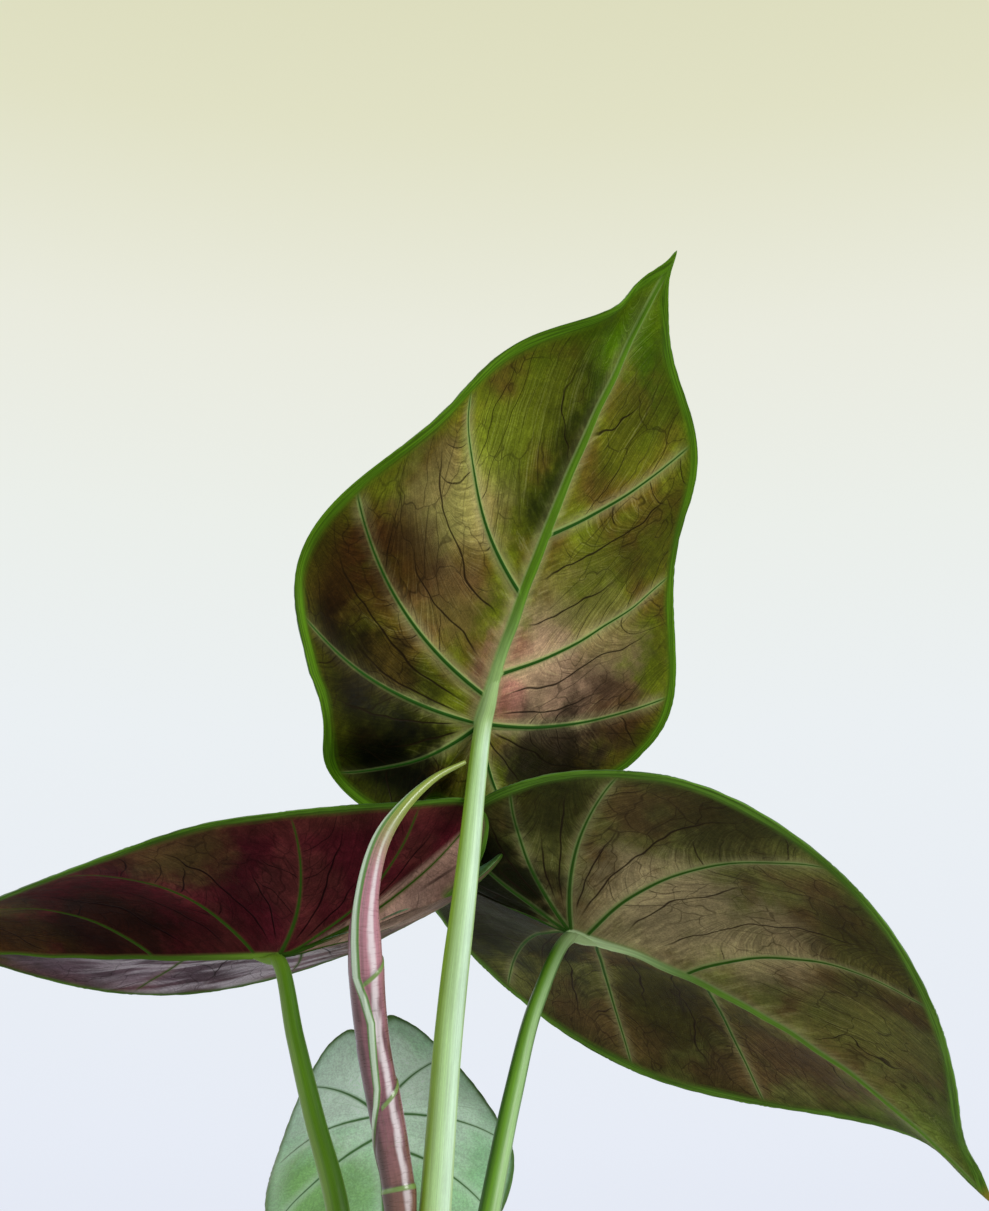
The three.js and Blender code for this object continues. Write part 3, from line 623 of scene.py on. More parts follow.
def rolled_leaf(name, material):
    """A spindle with a midrib that winds up it, a crease beside the midrib, and winding edges."""
    line, length = smooth_line(ROLL_LINE, ROLL_STEPS)
    share = np.linspace(0, 1, ROLL_STEPS + 1)[:, None]
    degrees = (np.arange(ROLL_SIDES) * 360 / ROLL_SIDES)[None]
    radius = between(ROLL_RADIUS, share)
    off_rib = (degrees - between(ROLL_RIB, share) + 180) % 360 - 180
    from_rib = np.abs(off_rib) * math.pi / 180 * radius
    half_width = between(ROLL_RIB_HALF_WIDTH, share)
    rib = ROLL_RIB_HEIGHT * np.clip(1 - (from_rib / half_width) ** 2, 0, 1) ** 0.8
    rib = rib * smoothstep(share, 0.36, 0.46) * (1 - smoothstep(share, 0.82, 0.97))
    crease = -ROLL_CREASE * np.exp(-(((from_rib - half_width - 0.7) / 0.6) ** 2)) * (off_rib > 0)
    crease = crease * smoothstep(share, 0.4, 0.5) * (1 - smoothstep(share, 0.8, 0.9))
    step, below = winding_edges(degrees, share, length)
    marks = stacked(from_rib / half_width, below, share)
    points, faces, attributes = tube(line, length, radius + rib + step + crease, {"marks": marks})
    return make_mesh(name, points, faces, attributes, [material])


# Pot, soil and corm

def turned_grid(profile, sides):
    """Rings of points turned about +Z from (radius, height) pairs."""
    radius, height = np.array(profile, float).T
    angle = np.arange(sides) * 2 * math.pi / sides
    return stacked(radius[:, None] * np.cos(angle), radius[:, None] * np.sin(angle), height[:, None])


def rounded(profile, radius, steps=5):
    """A profile with its inner corners rounded."""
    profile = [np.array(p, float) for p in profile]
    made = [profile[0]]
    for before, corner, after in zip(profile, profile[1:], profile[2:]):
        start, end = (
            corner + (other - corner) * min(radius / np.linalg.norm(other - corner), 0.45)
            for other in (before, after))
        for t in np.arange(steps + 1) / steps:
            made.append((1 - t) ** 2 * start + 2 * t * (1 - t) * corner + t * t * end)
    return made + [profile[-1]]


def finely(profile, spacing):
    """The profile with more points where two are further apart than the spacing."""
    made = [profile[0]]
    for start, end in zip(profile, profile[1:]):
        start, end = np.array(start, float), np.array(end, float)
        pieces = max(1, int(np.linalg.norm(end - start) / spacing))
        made += [start + (end - start) * (k + 1) / pieces for k in range(pieces)]
    return made


def turned_shape(grid):
    """Corners and faces of a closed shape whose first and last ring lie on the axis."""
    rings, sides = grid.shape[:2]
    return np.vstack([grid[1:-1].reshape(-1, 3), grid[0, 0], grid[-1, 0]]), tube_faces(rings - 3, sides)


def pot_inside_radius(height):
    share = (height - POT_FLOOR) / (POT_HEIGHT - 2 - POT_FLOOR)
    return POT_BASE_RADIUS - POT_WALL + (POT_TOP_RADIUS - POT_BASE_RADIUS) * share


def pot(name, material):
    """A tapered pot with a collar, fine turning marks and a slightly uneven wall."""
    collar_foot = POT_HEIGHT - COLLAR_HEIGHT
    profile = [
        (0, 0), (POT_BASE_RADIUS, 0), (POT_TOP_RADIUS - 3, collar_foot - 1), (COLLAR_RADIUS, collar_foot),
        (COLLAR_RADIUS, POT_HEIGHT), (POT_TOP_RADIUS - POT_WALL, POT_HEIGHT),
        (pot_inside_radius(POT_FLOOR), POT_FLOOR), (0, POT_FLOOR),
    ]
    grid = turned_grid(finely(rounded(profile, 2.2), 1.6), POT_SIDES)
    radius = np.hypot(grid[..., 0], grid[..., 1])
    height = grid[..., 2]
    marks = 0.09 * np.sin(height * 2.3 + 0.6 * np.sin(height * 0.31)) * smoothstep(height, 2, 6)
    marks = marks * (radius > 0.8 * POT_BASE_RADIUS)
    lumps = 0.12 * ripple(grid, 30, 5) * smoothstep(radius, 20, 50) * smoothstep(height, 1, 5)
    grid[..., :2] *= (1 + (marks + lumps) / np.maximum(radius, 1))[..., None]
    return make_mesh(name, *turned_shape(grid), {}, [material])


def crumb_ball():
    """A ball of 66 corners, split from eight triangles."""
    points = [np.array(p, float) for p in CRUMB_CORNERS]
    faces = CRUMB_FACES
    for _ in range(2):
        made, middles = [], {}
        for face in faces:
            mids = []
            for a, b in zip(face, face[1:] + face[:1]):
                key = (min(a, b), max(a, b))
                if key not in middles:
                    middle = points[a] + points[b]
                    middles[key] = len(points)
                    points.append(middle / np.linalg.norm(middle))
                mids.append(middles[key])
            a, b, c = face
            ab, bc, ca = mids
            made += [(a, ab, ca), (b, bc, ab), (c, ca, bc), (ab, bc, ca)]
        faces = made
    return np.array(points), np.array(faces)


def crumb(rng, number, ball, slope):
    """One crumb's corners, where it lies on the soil's slope, and its kind."""
    (wall, _), _, (hole, _) = slope
    spot_radius = math.sqrt(rng.uniform((hole + 2.5) ** 2, (wall - 3.2) ** 2))
    spot_angle = rng.uniform(0, 2 * math.pi)
    kind = rng.choice(list(CRUMB_KINDS), p=[chance for chance, _, _ in CRUMB_KINDS.values()])
    size = {key: rng.uniform(least, most) for key, (_, least, most) in CRUMB_KINDS.items()}[kind]
    if kind == BARK_CHIP:
        stretch = np.array([1, rng.uniform(0.5, 0.9), rng.uniform(0.35, 0.7)])
    else:
        stretch = rng.uniform(0.7, 1, 3)
    shape = ball * (1 + 0.16 * ripple(ball + number, 1.3, 100 + number)[:, None]) * stretch * size
    turn = rng.uniform(0, 2 * math.pi)
    tilt = rng.uniform(-0.4, 0.4)
    shape[:, 1], shape[:, 2] = turned(shape[:, 1], shape[:, 2], tilt)
    shape[:, 0], shape[:, 1] = turned(shape[:, 0], shape[:, 1], turn)
    ground = between(slope[::-1], spot_radius)
    spot = (spot_radius * math.cos(spot_angle), spot_radius * math.sin(spot_angle), ground + 0.15 * size)
    return shape + spot, kind


def soil(name, material):
    """The soil's closed body with a rough top, and crumbs, bark and perlite sunk in it."""
    bottom = POT_FLOOR + GAP
    hole = CORM_RADIUS + GAP
    hole_floor = SOIL_MIDDLE_HEIGHT - CORM_DEPTH - GAP
    wall = pot_inside_radius(SOIL_EDGE_HEIGHT) - GAP
    slope = [
        (wall, SOIL_EDGE_HEIGHT), (SOIL_SLOPE_RADIUS, SOIL_MIDDLE_HEIGHT - 1), (hole, SOIL_MIDDLE_HEIGHT)]
    outside = finely([(pot_inside_radius(bottom) - GAP, bottom), slope[0]], 12)[:-1]
    inside = finely([slope[-1], (hole, hole_floor)], 10)[1:]
    profile = [(0, bottom), *outside, *finely(slope, 0.9), *inside, (0, hole_floor)]
    grid = turned_grid(profile, SOIL_SIDES)
    radius = np.hypot(grid[..., 0], grid[..., 1])
    on_top = smoothstep(grid[..., 2], SOIL_EDGE_HEIGHT - 3, SOIL_EDGE_HEIGHT)
    on_top = on_top * smoothstep(radius, hole, hole + 3) * (1 - smoothstep(radius, wall - 2, wall))
    rough = sum(height * ripple(grid[..., :2], wavelength, seed) for height, wavelength, seed in SOIL_WAVES)
    grid[..., 2] += (rough - 0.2) * on_top
    body, faces = turned_shape(grid)
    points, kinds = [body], [np.zeros(len(body))]
    rng = np.random.default_rng(11)
    ball, ball_faces = crumb_ball()
    for number in range(CRUMB_COUNT):
        shape, kind = crumb(rng, number, ball, slope)
        points.append(shape)
        faces += (ball_faces + len(body) + number * len(ball)).tolist()
        kinds.append(np.full(len(ball), kind))
    return make_mesh(name, np.vstack(points), faces, {"kind": np.concatenate(kinds)}, [material])


def corm(name, material):
    """A short thick foot with a rough skin, rings, and scars on its top."""
    foot = SOIL_MIDDLE_HEIGHT - CORM_DEPTH
    profile = [
        (0, foot), (CORM_RADIUS - 6, foot), (CORM_RADIUS, foot + 9), (CORM_RADIUS, SOIL_MIDDLE_HEIGHT - 1),
        (CORM_RADIUS - 2.5, CORM_TOP), (0, CORM_TOP),
    ]
    grid = turned_grid(finely(rounded(profile, 3), 0.8), CORM_SIDES)
    radius = np.hypot(grid[..., 0], grid[..., 1])
    height = grid[..., 2]
    rough = 0.25 * ripple(grid, 4, 21) + 0.2 * np.sin(height * 2.4 + ripple(grid, 12, 22))
    grid[..., :2] *= (1 + (rough - 0.3) / np.maximum(radius, 2) * smoothstep(radius, 2, 8))[..., None]
    scars = 0.35 * np.sin(radius * 1.9 + 0.8 * ripple(grid[..., :2], 16, 23)) * (height > CORM_TOP - 1)
    grid[..., 2] += scars
    return make_mesh(name, *turned_shape(grid), {}, [material])


# Materials

def rgb(red, green, blue):
    """A screen colour as Blender's linear colour."""
    linear = [c / 12.92 if c <= 0.04045 else ((c + 0.055) / 1.055) ** 2.4
              for c in (red / 255, green / 255, blue / 255)]
    return (*linear, 1)


class Value:
    """An output of a node. Arithmetic with it adds the nodes that work it out."""

    def __init__(self, graph, socket):
        self.graph = graph
        self.socket = socket

    def __add__(self, other):
        return self.graph.math("ADD", self, other)

    def __sub__(self, other):
        return self.graph.math("SUBTRACT", self, other)

    def __rsub__(self, other):
        return self.graph.math("SUBTRACT", other, self)

    def __mul__(self, other):
        return self.graph.math("MULTIPLY", self, other)

    def __truediv__(self, other):
        return self.graph.math("DIVIDE", self, other)

    def __pow__(self, other):
        return self.graph.math("POWER", self, other)

    def __abs__(self):
        return self.graph.math("ABSOLUTE", self)

    def at_most(self, other):
        return self.graph.math("MINIMUM", self, other)

    def at_least(self, other):
        return self.graph.math("MAXIMUM", self, other)

    def ease(self, low, high, bottom=0, top=1):
        """Eases from bottom to top as the value goes from low to high."""
        inputs = {0: self, 1: low, 2: high, 3: bottom, 4: top}
        return self.graph.add("ShaderNodeMapRange", inputs, interpolation_type="SMOOTHSTEP")

    def blend(self, start, end):
        """From one colour to another as the value goes from 0 to 1."""
        return self.graph.add("ShaderNodeMix", {0: self, 6: start, 7: end}, 2, data_type="RGBA")

    def shade(self, colour):
        """The colour times the value."""
        return self.graph.scale(colour if isinstance(colour, Value) else rgb(*colour)[:3], self)

    def vary(self, colour, low, high, depth):
        """The colour, darker by a share where the value is low and lighter by it where the value is high."""
        return self.ease(low, high, 1 - depth, 1 + depth).shade(colour)


class Graph:
    """The node tree of a new material or world, built from short calls that take and give values."""

    def __init__(self, name, kind="materials"):
        self.owner = getattr(bpy.data, kind).new(name)
        self.owner.use_nodes = True
        self.tree = self.owner.node_tree

    def put(self, socket, value):
        """Links a value to a socket or sets it. A tuple that holds values is joined into a vector."""
        if isinstance(value, tuple) and any(isinstance(part, Value) for part in value):
            value = self.join(*value)
        if isinstance(value, Value):
            self.tree.links.new(value.socket, socket)
        elif socket.type == "RGBA":
            socket.default_value = rgb(*value)
        else:
            socket.default_value = value

    def add(self, kind, inputs, output=0, **settings):
        node = self.tree.nodes.new(kind)
        for key, value in settings.items():
            setattr(node, key, value)
        for key, value in inputs.items():
            self.put(node.inputs[key], value)
        return Value(self, node.outputs[output])

    def attribute(self, name, output="Vector"):
        return self.add("ShaderNodeAttribute", {}, output, attribute_name=name)

    def split(self, vector):
        x = self.add("ShaderNodeSeparateXYZ", {0: vector})
        return [Value(self, socket) for socket in x.socket.node.outputs]

    def join(self, *parts):
        return self.add("ShaderNodeCombineXYZ", dict(enumerate(parts)))

    def math(self, operation, *inputs):
        return self.add("ShaderNodeMath", dict(enumerate(inputs)), operation=operation)

    def scale(self, vector, factor):
        return self.add("ShaderNodeVectorMath", {0: vector, "Scale": factor}, operation="SCALE")

    def noise(self, place, scale=1, detail=2, roughness=0.5, distortion=0):
        return self.add("ShaderNodeTexNoise", {
            "Vector": place, "Scale": scale, "Detail": detail, "Roughness": roughness,
            "Distortion": distortion})

    def solid_place(self):
        """Object coordinates in millimetres."""
        return self.scale(self.add("ShaderNodeTexCoord", {}, "Object"), 1 / MM)

    def surface(self, colour, roughness, relief=None, **fixed):
        """The finished material. Relief is a height, its size in metres and its strength."""
        shader = self.tree.nodes["Principled BSDF"]
        self.put(shader.inputs["Base Color"], colour)
        self.put(shader.inputs["Roughness"], roughness)
        if relief:
            bump = self.add("ShaderNodeBump", dict(zip(("Height", "Distance", "Strength"), relief)))
            self.put(shader.inputs["Normal"], bump)
        for key, value in fixed.items():
            shader.inputs[key.replace("_", " ")].default_value = value
        return self.owner


FINE_RELIEF = 0.0003
DRY = (176, 138, 52)
HALF_LEAN = 0.21  # behind the stem, the right half's tone crosses over to the left half's last vein
# Thin veins that wander: how far across between two side veins, and where along them they start and end
WANDERING = ((0.3, 0.05, 0.7), (0.66, 0.05, 0.95))
# Thin veins that sweep away from the side veins: spacing, slant, width and strength
SWEEPING = ((15, 0.6, 0.5, 1), (6.5, 0.8, 0.36, 0.5))


def blade_material(name, leaf, look):
    """A blade's face: patches, fibres, side veins with halos, thin dark veins, midrib and margin."""
    look = SimpleNamespace(**look)
    g = Graph(name)
    length = leaf.length
    flat = g.attribute("flat")
    x, y, seed = g.split(flat)
    vein, midrib, edge = g.split(g.attribute("lines"))
    across, along, width = g.split(g.attribute("bay"))
    share, out, bay = g.split(g.attribute("grid"))
    in_plane = g.join(x, y, 0)
    broad = g.noise(flat, 0.03, 3)
    medium = g.noise(flat, 0.085, 4, 0.6)
    mottle = g.noise(flat, 0.3, 3, 0.65)
    grain = g.noise(flat, 1.3, 2, 0.6)

    def near_place(place, radius, drift, top):
        """From 0 to top round a place. The place and the radius are shares of the blade's length."""
        centre = (place[0] * length, place[1] * length, 0)
        radius = radius * length
        distance = g.add("ShaderNodeVectorMath", {0: in_plane, 1: centre}, "Value", operation="DISTANCE")
        return (distance + (medium - 0.5) * (radius * drift)).ease(radius * 1.25, radius * 0.4, 0, top)

    # Patches of colour
    colour = broad.ease(0.41, 0.59).blend(look.base, look.second)
    for place, radius, stain, strength in look.stains:
        colour = near_place(place, radius, 1.2, strength).blend(colour, stain)
    if look.right_half:
        half_colour = x.ease(-0.12 * length, 0.12 * length).blend(*look.right_half)
        off_half = y + x.at_most(0) * HALF_LEAN
        colour = off_half.ease(0.5, -4, 0, 0.85).blend(colour, half_colour)
    ragged = midrib + (medium - 0.5) * 22
    # Painted shade: dark bands in the trough beside the midrib
    for side, first, last, reach, shade, strength in look.valleys:
        valley_shade = ragged.ease(reach, 0.35 * reach, 0, strength) * (y * side).ease(0, 2)
        valley_shade = valley_shade * x.ease(first * length, (first + 0.12) * length)
        valley_shade = valley_shade * x.ease(last * length, (last - 0.14) * length)
        colour = valley_shade.blend(colour, shade)
    to_tip = (x + medium * (0.2 * length)).ease(0.74 * length, 0.93 * length)
    colour = to_tip.blend(colour, look.tip)
    colour = edge.ease(15, 2, 0, 0.45).blend(colour, look.near_edge)
    colour = vein.at_most(midrib).vary(colour, 1, 15, -look.bays)
    colour = mottle.vary(colour, 0.3, 0.7, look.mottle)
    cloud = g.noise((x * 0.045, y * 0.045, seed * 1.7), 1, 3, 0.6)
    colour = cloud.vary(colour, 0.36, 0.64, look.clouds)
    # Painted sheens: streaks of painted reflection on one half of the blade
    for place, radius, painted_sheen in look.sheens:
        sheen_streaks = g.noise((x * 0.016, y * 0.1, seed), 1, 3, 0.55, 0.5)
        amount = near_place(place, radius, 0.4, 1) * sheen_streaks.ease(0.44, 0.62, 0, 0.7)
        amount = amount * (y * math.copysign(1, place[1])).ease(3, 13)
        colour = amount.blend(colour, painted_sheen)
    lightness = g.add("ShaderNodeRGBToBW", {0: colour}).ease(0, 0.12, 0.03, 1)

    # Fibres: from the midrib they follow the side veins, further out they fan from them
    half_way = (vein * 2 / (width + 0.1)).at_most(1)
    swept = vein / (1.16 - half_way)
    fan = along + medium * 5 - swept * 0.8
    far = g.noise((fan, vein * 0.07, bay + seed), 1, 3, 0.7)
    near = g.noise((share * 190, along * 0.06, seed), 1, 3, 0.7)
    fibre = g.add("ShaderNodeMix", {0: out.ease(0.08, 0.32), 2: near, 3: far}, data_type="FLOAT")
    colour = fibre.vary(colour, 0.32, 0.68, look.fibre)
    hairs = fibre.ease(0.54, 0.7, 0, look.hairs) * lightness * out.ease(0.9, 0.55)
    colour = hairs.blend(colour, look.halo_colour)
    colour = grain.ease(0.3, 0.7, 0.86, 1.13).shade(colour)

    # Halo beside each side vein and beside the midrib
    off_vein = vein - out.ease(0, 1, look.vein_width, look.vein_width * 0.4)
    forward = (x / length).at_least(0)
    off_rib = midrib - (1 - forward**0.7 * 0.8) * (look.rib_width * leaf.rib)
    off_line = off_vein.at_most(off_rib + x.ease(0, -6, 0, 20))
    halo = off_line.ease(look.halo_width, 0, 0, look.halo) * edge.ease(2, 10) * lightness
    halo = halo * fibre.ease(0.35, 0.65, 0.75, 1.1) * forward.ease(0.45, 0.9, 1, 0.25)
    colour = halo.blend(colour, look.halo_colour)

    # Thin dark veins: some wander between the side veins, others sweep away from them, and a fine net
    wander = g.noise(flat, 0.036) - 0.5
    thin = 0
    for middle, first, last in WANDERING:
        line = (abs(across - middle + wander * 0.3) * width).ease(0.55, 0.15)
        line = line * width.ease(6, 12) * vein.ease(0.8, 3)
        line = line * out.ease(first, first + 0.12) * out.ease(last, last - 0.25)
        thin = line.at_least(thin)
    for spacing, slant, line_width, strength in SWEEPING:
        beat = (along - swept * slant) / spacing + wander * 1.5
        off_beat = abs(g.math("FRACT", beat) - 0.5) * spacing
        draw = {"Vector": (g.math("FLOOR", beat), bay + g.math("FLOOR", across + 0.5), seed)}
        chance = g.add("ShaderNodeTexWhiteNoise", draw, "Value")
        reach = chance.ease(0.3, 1, 0, 0.44) * width
        reach = reach * reach.ease(2, 5)
        sweep = off_beat.ease(line_width, 0.12) * (reach - vein).ease(0, 3)
        sweep = sweep * out.ease(0.1, 0.25) * vein.ease(0.6, 2.5)
        thin = (sweep * strength).at_least(thin)
    warp = (g.noise(flat, 0.06) - 0.5) * 1.6
    cells = {"Vector": (along * 0.055 + warp, across * width * 0.1 + warp, bay + seed), "Scale": 1}
    net = g.add("ShaderNodeTexVoronoi", cells, "Distance", feature="DISTANCE_TO_EDGE")
    net = net.ease(0.034, 0.006, 0, look.net) * broad.ease(0.36, 0.52, 0.35, 1)
    net = net * vein.ease(0.5, 3) * out.ease(0.1, 0.3)
    web = abs(mottle - 0.5).ease(0.03, 0, 0, 1.6 * look.mottle)
    thin = net.at_least(thin).at_least(web) * edge.ease(2, 6) * look.thin
    thin = thin * x.ease(0.86 * length, 0.72 * length)
    colour = thin.blend(colour, look.thin_colour)

    # Side veins: a dark core with a lighter rim
    rim = off_vein.ease(0.85, 0.25, 0, look.rim_strength) * edge.ease(2, 8) * (lightness * 0.7 + 0.3)
    colour = rim.blend(colour, look.rim)
    core = off_vein.ease(0.2, -0.3) * edge.ease(1.5, 7)
    colour = core.blend(colour, look.vein)

    # Midrib, paler at its foot
    streak = g.noise((x * 0.03, y * 1.3, seed))
    rib_colour = forward.ease(0, 0.3).blend(look.rib_foot, look.rib)
    rib_colour = streak.ease(0.35, 0.65, 0.84, 1.14).shade(rib_colour)
    rib_rim = off_rib.ease(1, 0.1, 0, look.rim_strength) * x.ease(-4, 6)
    colour = rib_rim.blend(colour, look.rim)
    colour = (off_rib.ease(0.3, -0.4) * x.ease(-9, -1)).blend(colour, rib_colour)

    # Margin: a green band with fine lines and a dark inner border
    off_band = edge - ((broad - 0.5) * 1.4 + 1) * look.margin_width
    lines = g.noise((edge * 1.7, share * 14, seed))
    band_colour = lines.ease(0.35, 0.65, 0.6, 1.2).shade(look.margin)
    colour = abs(off_band).ease(1, 0.1, 0, 0.35).blend(colour, look.thin_colour)
    colour = off_band.ease(2.6, 0.4, 0, 0.35).blend(colour, band_colour)
    colour = off_band.ease(0.9, -0.8).blend(colour, band_colour)
    colour = x.ease(0.95 * length, length, 0, look.dry_tip).blend(colour, DRY)

    height = fibre * 0.7 + mottle * 0.4 - thin * 0.7
    roughness = medium.ease(0.3, 0.7, look.roughness - 0.06, look.roughness + 0.08)
    coat = {"Coat_Weight": look.coat, "Coat_Roughness": 0.25} if look.coat else {}
    return g.surface(colour, roughness, (height, FINE_RELIEF, look.relief),
                     Specular_IOR_Level=look.specular, **coat)


# Looks of the blades. A stain is a place, a radius, a colour and a strength, and a painted sheen, pale
# streaks of painted reflection, has no strength.
# A valley shade, a band of painted shade in the trough beside the midrib, is its side, where it starts and
# ends, its width, colour and strength.
UNDERSIDE = dict(
    stains=[], bays=0.2, clouds=0.17, fibre=0.25, hairs=0.24, vein_width=0.8, halo=0.4,
    halo_width=4.6, rim_strength=0.65, thin=0.9, rib_width=2.9, margin_width=2.4, relief=0.6,
    roughness=0.5, specular=0.05, coat=0, dry_tip=0, sheens=[], valleys=[], right_half=None,
    net=0.6, mottle=0.14,
)
SOOT = (16, 12, 0)
BARK = (60, 34, 10)
MOSS = (34, 44, 4)
OLIVE = (128, 142, 34)
SAND = (178, 164, 100)
ROSE = (194, 156, 130)
TALL_LOOK = dict(
    UNDERSIDE, base=(106, 116, 22), second=(108, 88, 30), tip=(78, 114, 2), near_edge=(84, 90, 14),
    stains=[
        ((0.14, 0.16), 0.2, ROSE, 0.8), ((0.06, 0.05), 0.05, (172, 100, 96), 0.6),
        ((0.17, 0.03), 0.04, (140, 84, 72), 0.6), ((0.26, 0.22), 0.1, (112, 104, 40), 0.6),
        ((0.1, 0.31), 0.11, BARK, 0.85), ((-0.03, 0.2), 0.14, SOOT, 0.92),
        ((0.34, 0.13), 0.12, OLIVE, 0.5), ((0.43, 0.24), 0.09, BARK, 0.4),
        ((0.62, 0.1), 0.1, (104, 118, 14), 0.7), ((0.38, -0.2), 0.13, SAND, 0.58),
        ((0.2, -0.14), 0.1, (132, 98, 62), 0.6), ((0.25, -0.27), 0.1, BARK, 0.75),
        ((0.52, -0.15), 0.08, OLIVE, 0.8), ((0.18, -0.4), 0.17, BARK, 0.95),
        # The darkest patches on the next two lines, on the half turned from the light, are partly the
        # blade's own dark colour and partly painted shade
        ((0.02, -0.33), 0.14, SOOT, 0.85), ((-0.06, -0.2), 0.18, (30, 26, 6), 0.85),
        ((-0.17, -0.15), 0.17, (4, 6, 0), 0.98),
    ],
    valleys=[(-1, 0.32, 0.84, 17, MOSS, 0.9), (-1, -0.02, 0.22, 11, (96, 50, 36), 0.5)],
    halo_colour=(184, 180, 128), thin_colour=(28, 18, 4), rim=(146, 172, 98),
    vein=(36, 82, 18), rib=(90, 132, 28), rib_foot=(166, 200, 128), margin=(84, 126, 20), margin_width=3.2,
)
LEFT_LOOK = dict(
    UNDERSIDE, base=(80, 22, 32), second=(90, 40, 40), tip=(78, 72, 24), near_edge=(96, 54, 42),
    stains=[
        ((0.14, 0.04), 0.12, (46, 8, 8), 0.7), ((0.38, 0.07), 0.2, (30, 10, 2), 0.92),
        ((0.66, 0.05), 0.2, (60, 42, 12), 0.85), ((0.1, 0.31), 0.12, (112, 98, 52), 0.65),
        ((0.6, 0.25), 0.14, (74, 66, 22), 0.7),
    ],
    right_half=((178, 146, 130), (104, 88, 102)),
    valleys=[(-1, 0.04, 0.98, 18, (40, 24, 22), 0.9)],
    sheens=[((0.26, -0.2), 0.34, (214, 206, 220))],
    halo=0.16, halo_colour=(128, 74, 68), thin_colour=(20, 2, 5), rim=(96, 96, 44), rim_strength=0.5,
    vein=(54, 86, 22), rib=(70, 104, 28), rib_foot=(112, 150, 50), margin=(78, 118, 34), margin_width=1.7,
    fibre=0.16, hairs=0.07, net=0.5, clouds=0.26, specular=0.03,
)
RIGHT_LOOK = dict(
    UNDERSIDE, base=(112, 114, 58), second=(98, 80, 46), tip=(104, 124, 48), near_edge=(54, 66, 14),
    stains=[
        ((0.13, -0.14), 0.16, (172, 156, 116), 0.85), ((0.3, -0.17), 0.13, (160, 144, 106), 0.65),
        ((0.55, -0.13), 0.12, (116, 120, 52), 0.7), ((0.45, -0.32), 0.13, (68, 62, 20), 0.8),
        ((0.12, -0.38), 0.12, (60, 56, 26), 0.8), ((0.3, 0.2), 0.22, (58, 52, 10), 0.85),
        ((0.55, 0.14), 0.1, (96, 74, 46), 0.6), ((-0.12, 0.2), 0.24, (34, 38, 6), 0.95),
        ((-0.15, -0.28), 0.13, (50, 48, 12), 0.85), ((-0.24, -0.13), 0.1, (24, 28, 2), 0.85),
        ((-0.15, -0.04), 0.14, (12, 18, 0), 0.97),
    ],
    sheens=[((-0.08, 0.11), 0.12, (54, 60, 40))],
    halo_colour=(168, 164, 116), thin_colour=(34, 20, 10), rim=(132, 158, 92),
    vein=(48, 88, 22), rib=(104, 148, 52), rib_foot=(204, 232, 176), margin=(92, 134, 42), margin_width=2.9,
    dry_tip=0.8,
)
UPPER_LOOK = dict(
    UNDERSIDE, base=(120, 164, 126), second=(108, 152, 108), tip=(112, 154, 104),
    near_edge=(112, 156, 118), stains=[((0.15, 0.1), 0.35, (132, 172, 142), 0.5)],
    halo=0.35, halo_colour=(150, 190, 160), thin_colour=(80, 126, 78), thin=0.35,
    rim=(140, 180, 148), vein=(58, 106, 54), rib=(70, 118, 62), rib_foot=(96, 140, 84),
    margin=(88, 128, 62), margin_width=1.4, rib_width=1.9, vein_width=0.7, bays=0.05, net=0.25,
    roughness=0.36, specular=0.5, coat=0.25, fibre=0.07, hairs=0.05, clouds=0.06, mottle=0.05,
)
# The back leaf's upper face: a pale green that is partly its own colour and partly painted light
BACK_LOOK = dict(
    UPPER_LOOK, base=(188, 238, 196), second=(166, 222, 172), tip=(150, 200, 138),
    near_edge=(186, 226, 200),
    stains=[
        ((0.4, 0.0), 0.4, (158, 208, 152), 0.6), ((0.3, -0.3), 0.3, (130, 184, 98), 0.8),
        # The two near-white patches on the next line are painted sheen, a painted reflection on the upper
        # face
        ((-0.05, 0.15), 0.3, (228, 255, 236), 0.75), ((-0.2, -0.1), 0.3, (232, 255, 240), 0.75),
    ],
    halo_colour=(220, 240, 228), thin_colour=(120, 168, 124), rim=(170, 208, 172),
    vein=(76, 124, 66), rib=(84, 132, 72), net=0, thin=0.2, fibre=0.04,
)
LOWER_LOOKS = {"tall": TALL_LOOK, "left": LEFT_LOOK, "right": RIGHT_LOOK, "back": RIGHT_LOOK}
UPPER_LOOKS = {"tall": UPPER_LOOK, "left": UPPER_LOOK, "right": UPPER_LOOK, "back": BACK_LOOK}

# Each stem's top, its base colour, and its painted lit and painted shaded colours, towards and away from the
# light
STEM_COLOURS = {
    "tall": ((166, 200, 128), (190, 230, 158), (216, 248, 214), (150, 192, 60)),
    "left": ((112, 150, 44), (88, 134, 10), (82, 128, 36), (118, 152, 60)),
    "right": ((184, 214, 150), (112, 164, 48), (172, 214, 144), (54, 102, 8)),
    "back": ((140, 180, 112), (140, 180, 112), (160, 196, 140), (110, 150, 80)),
}


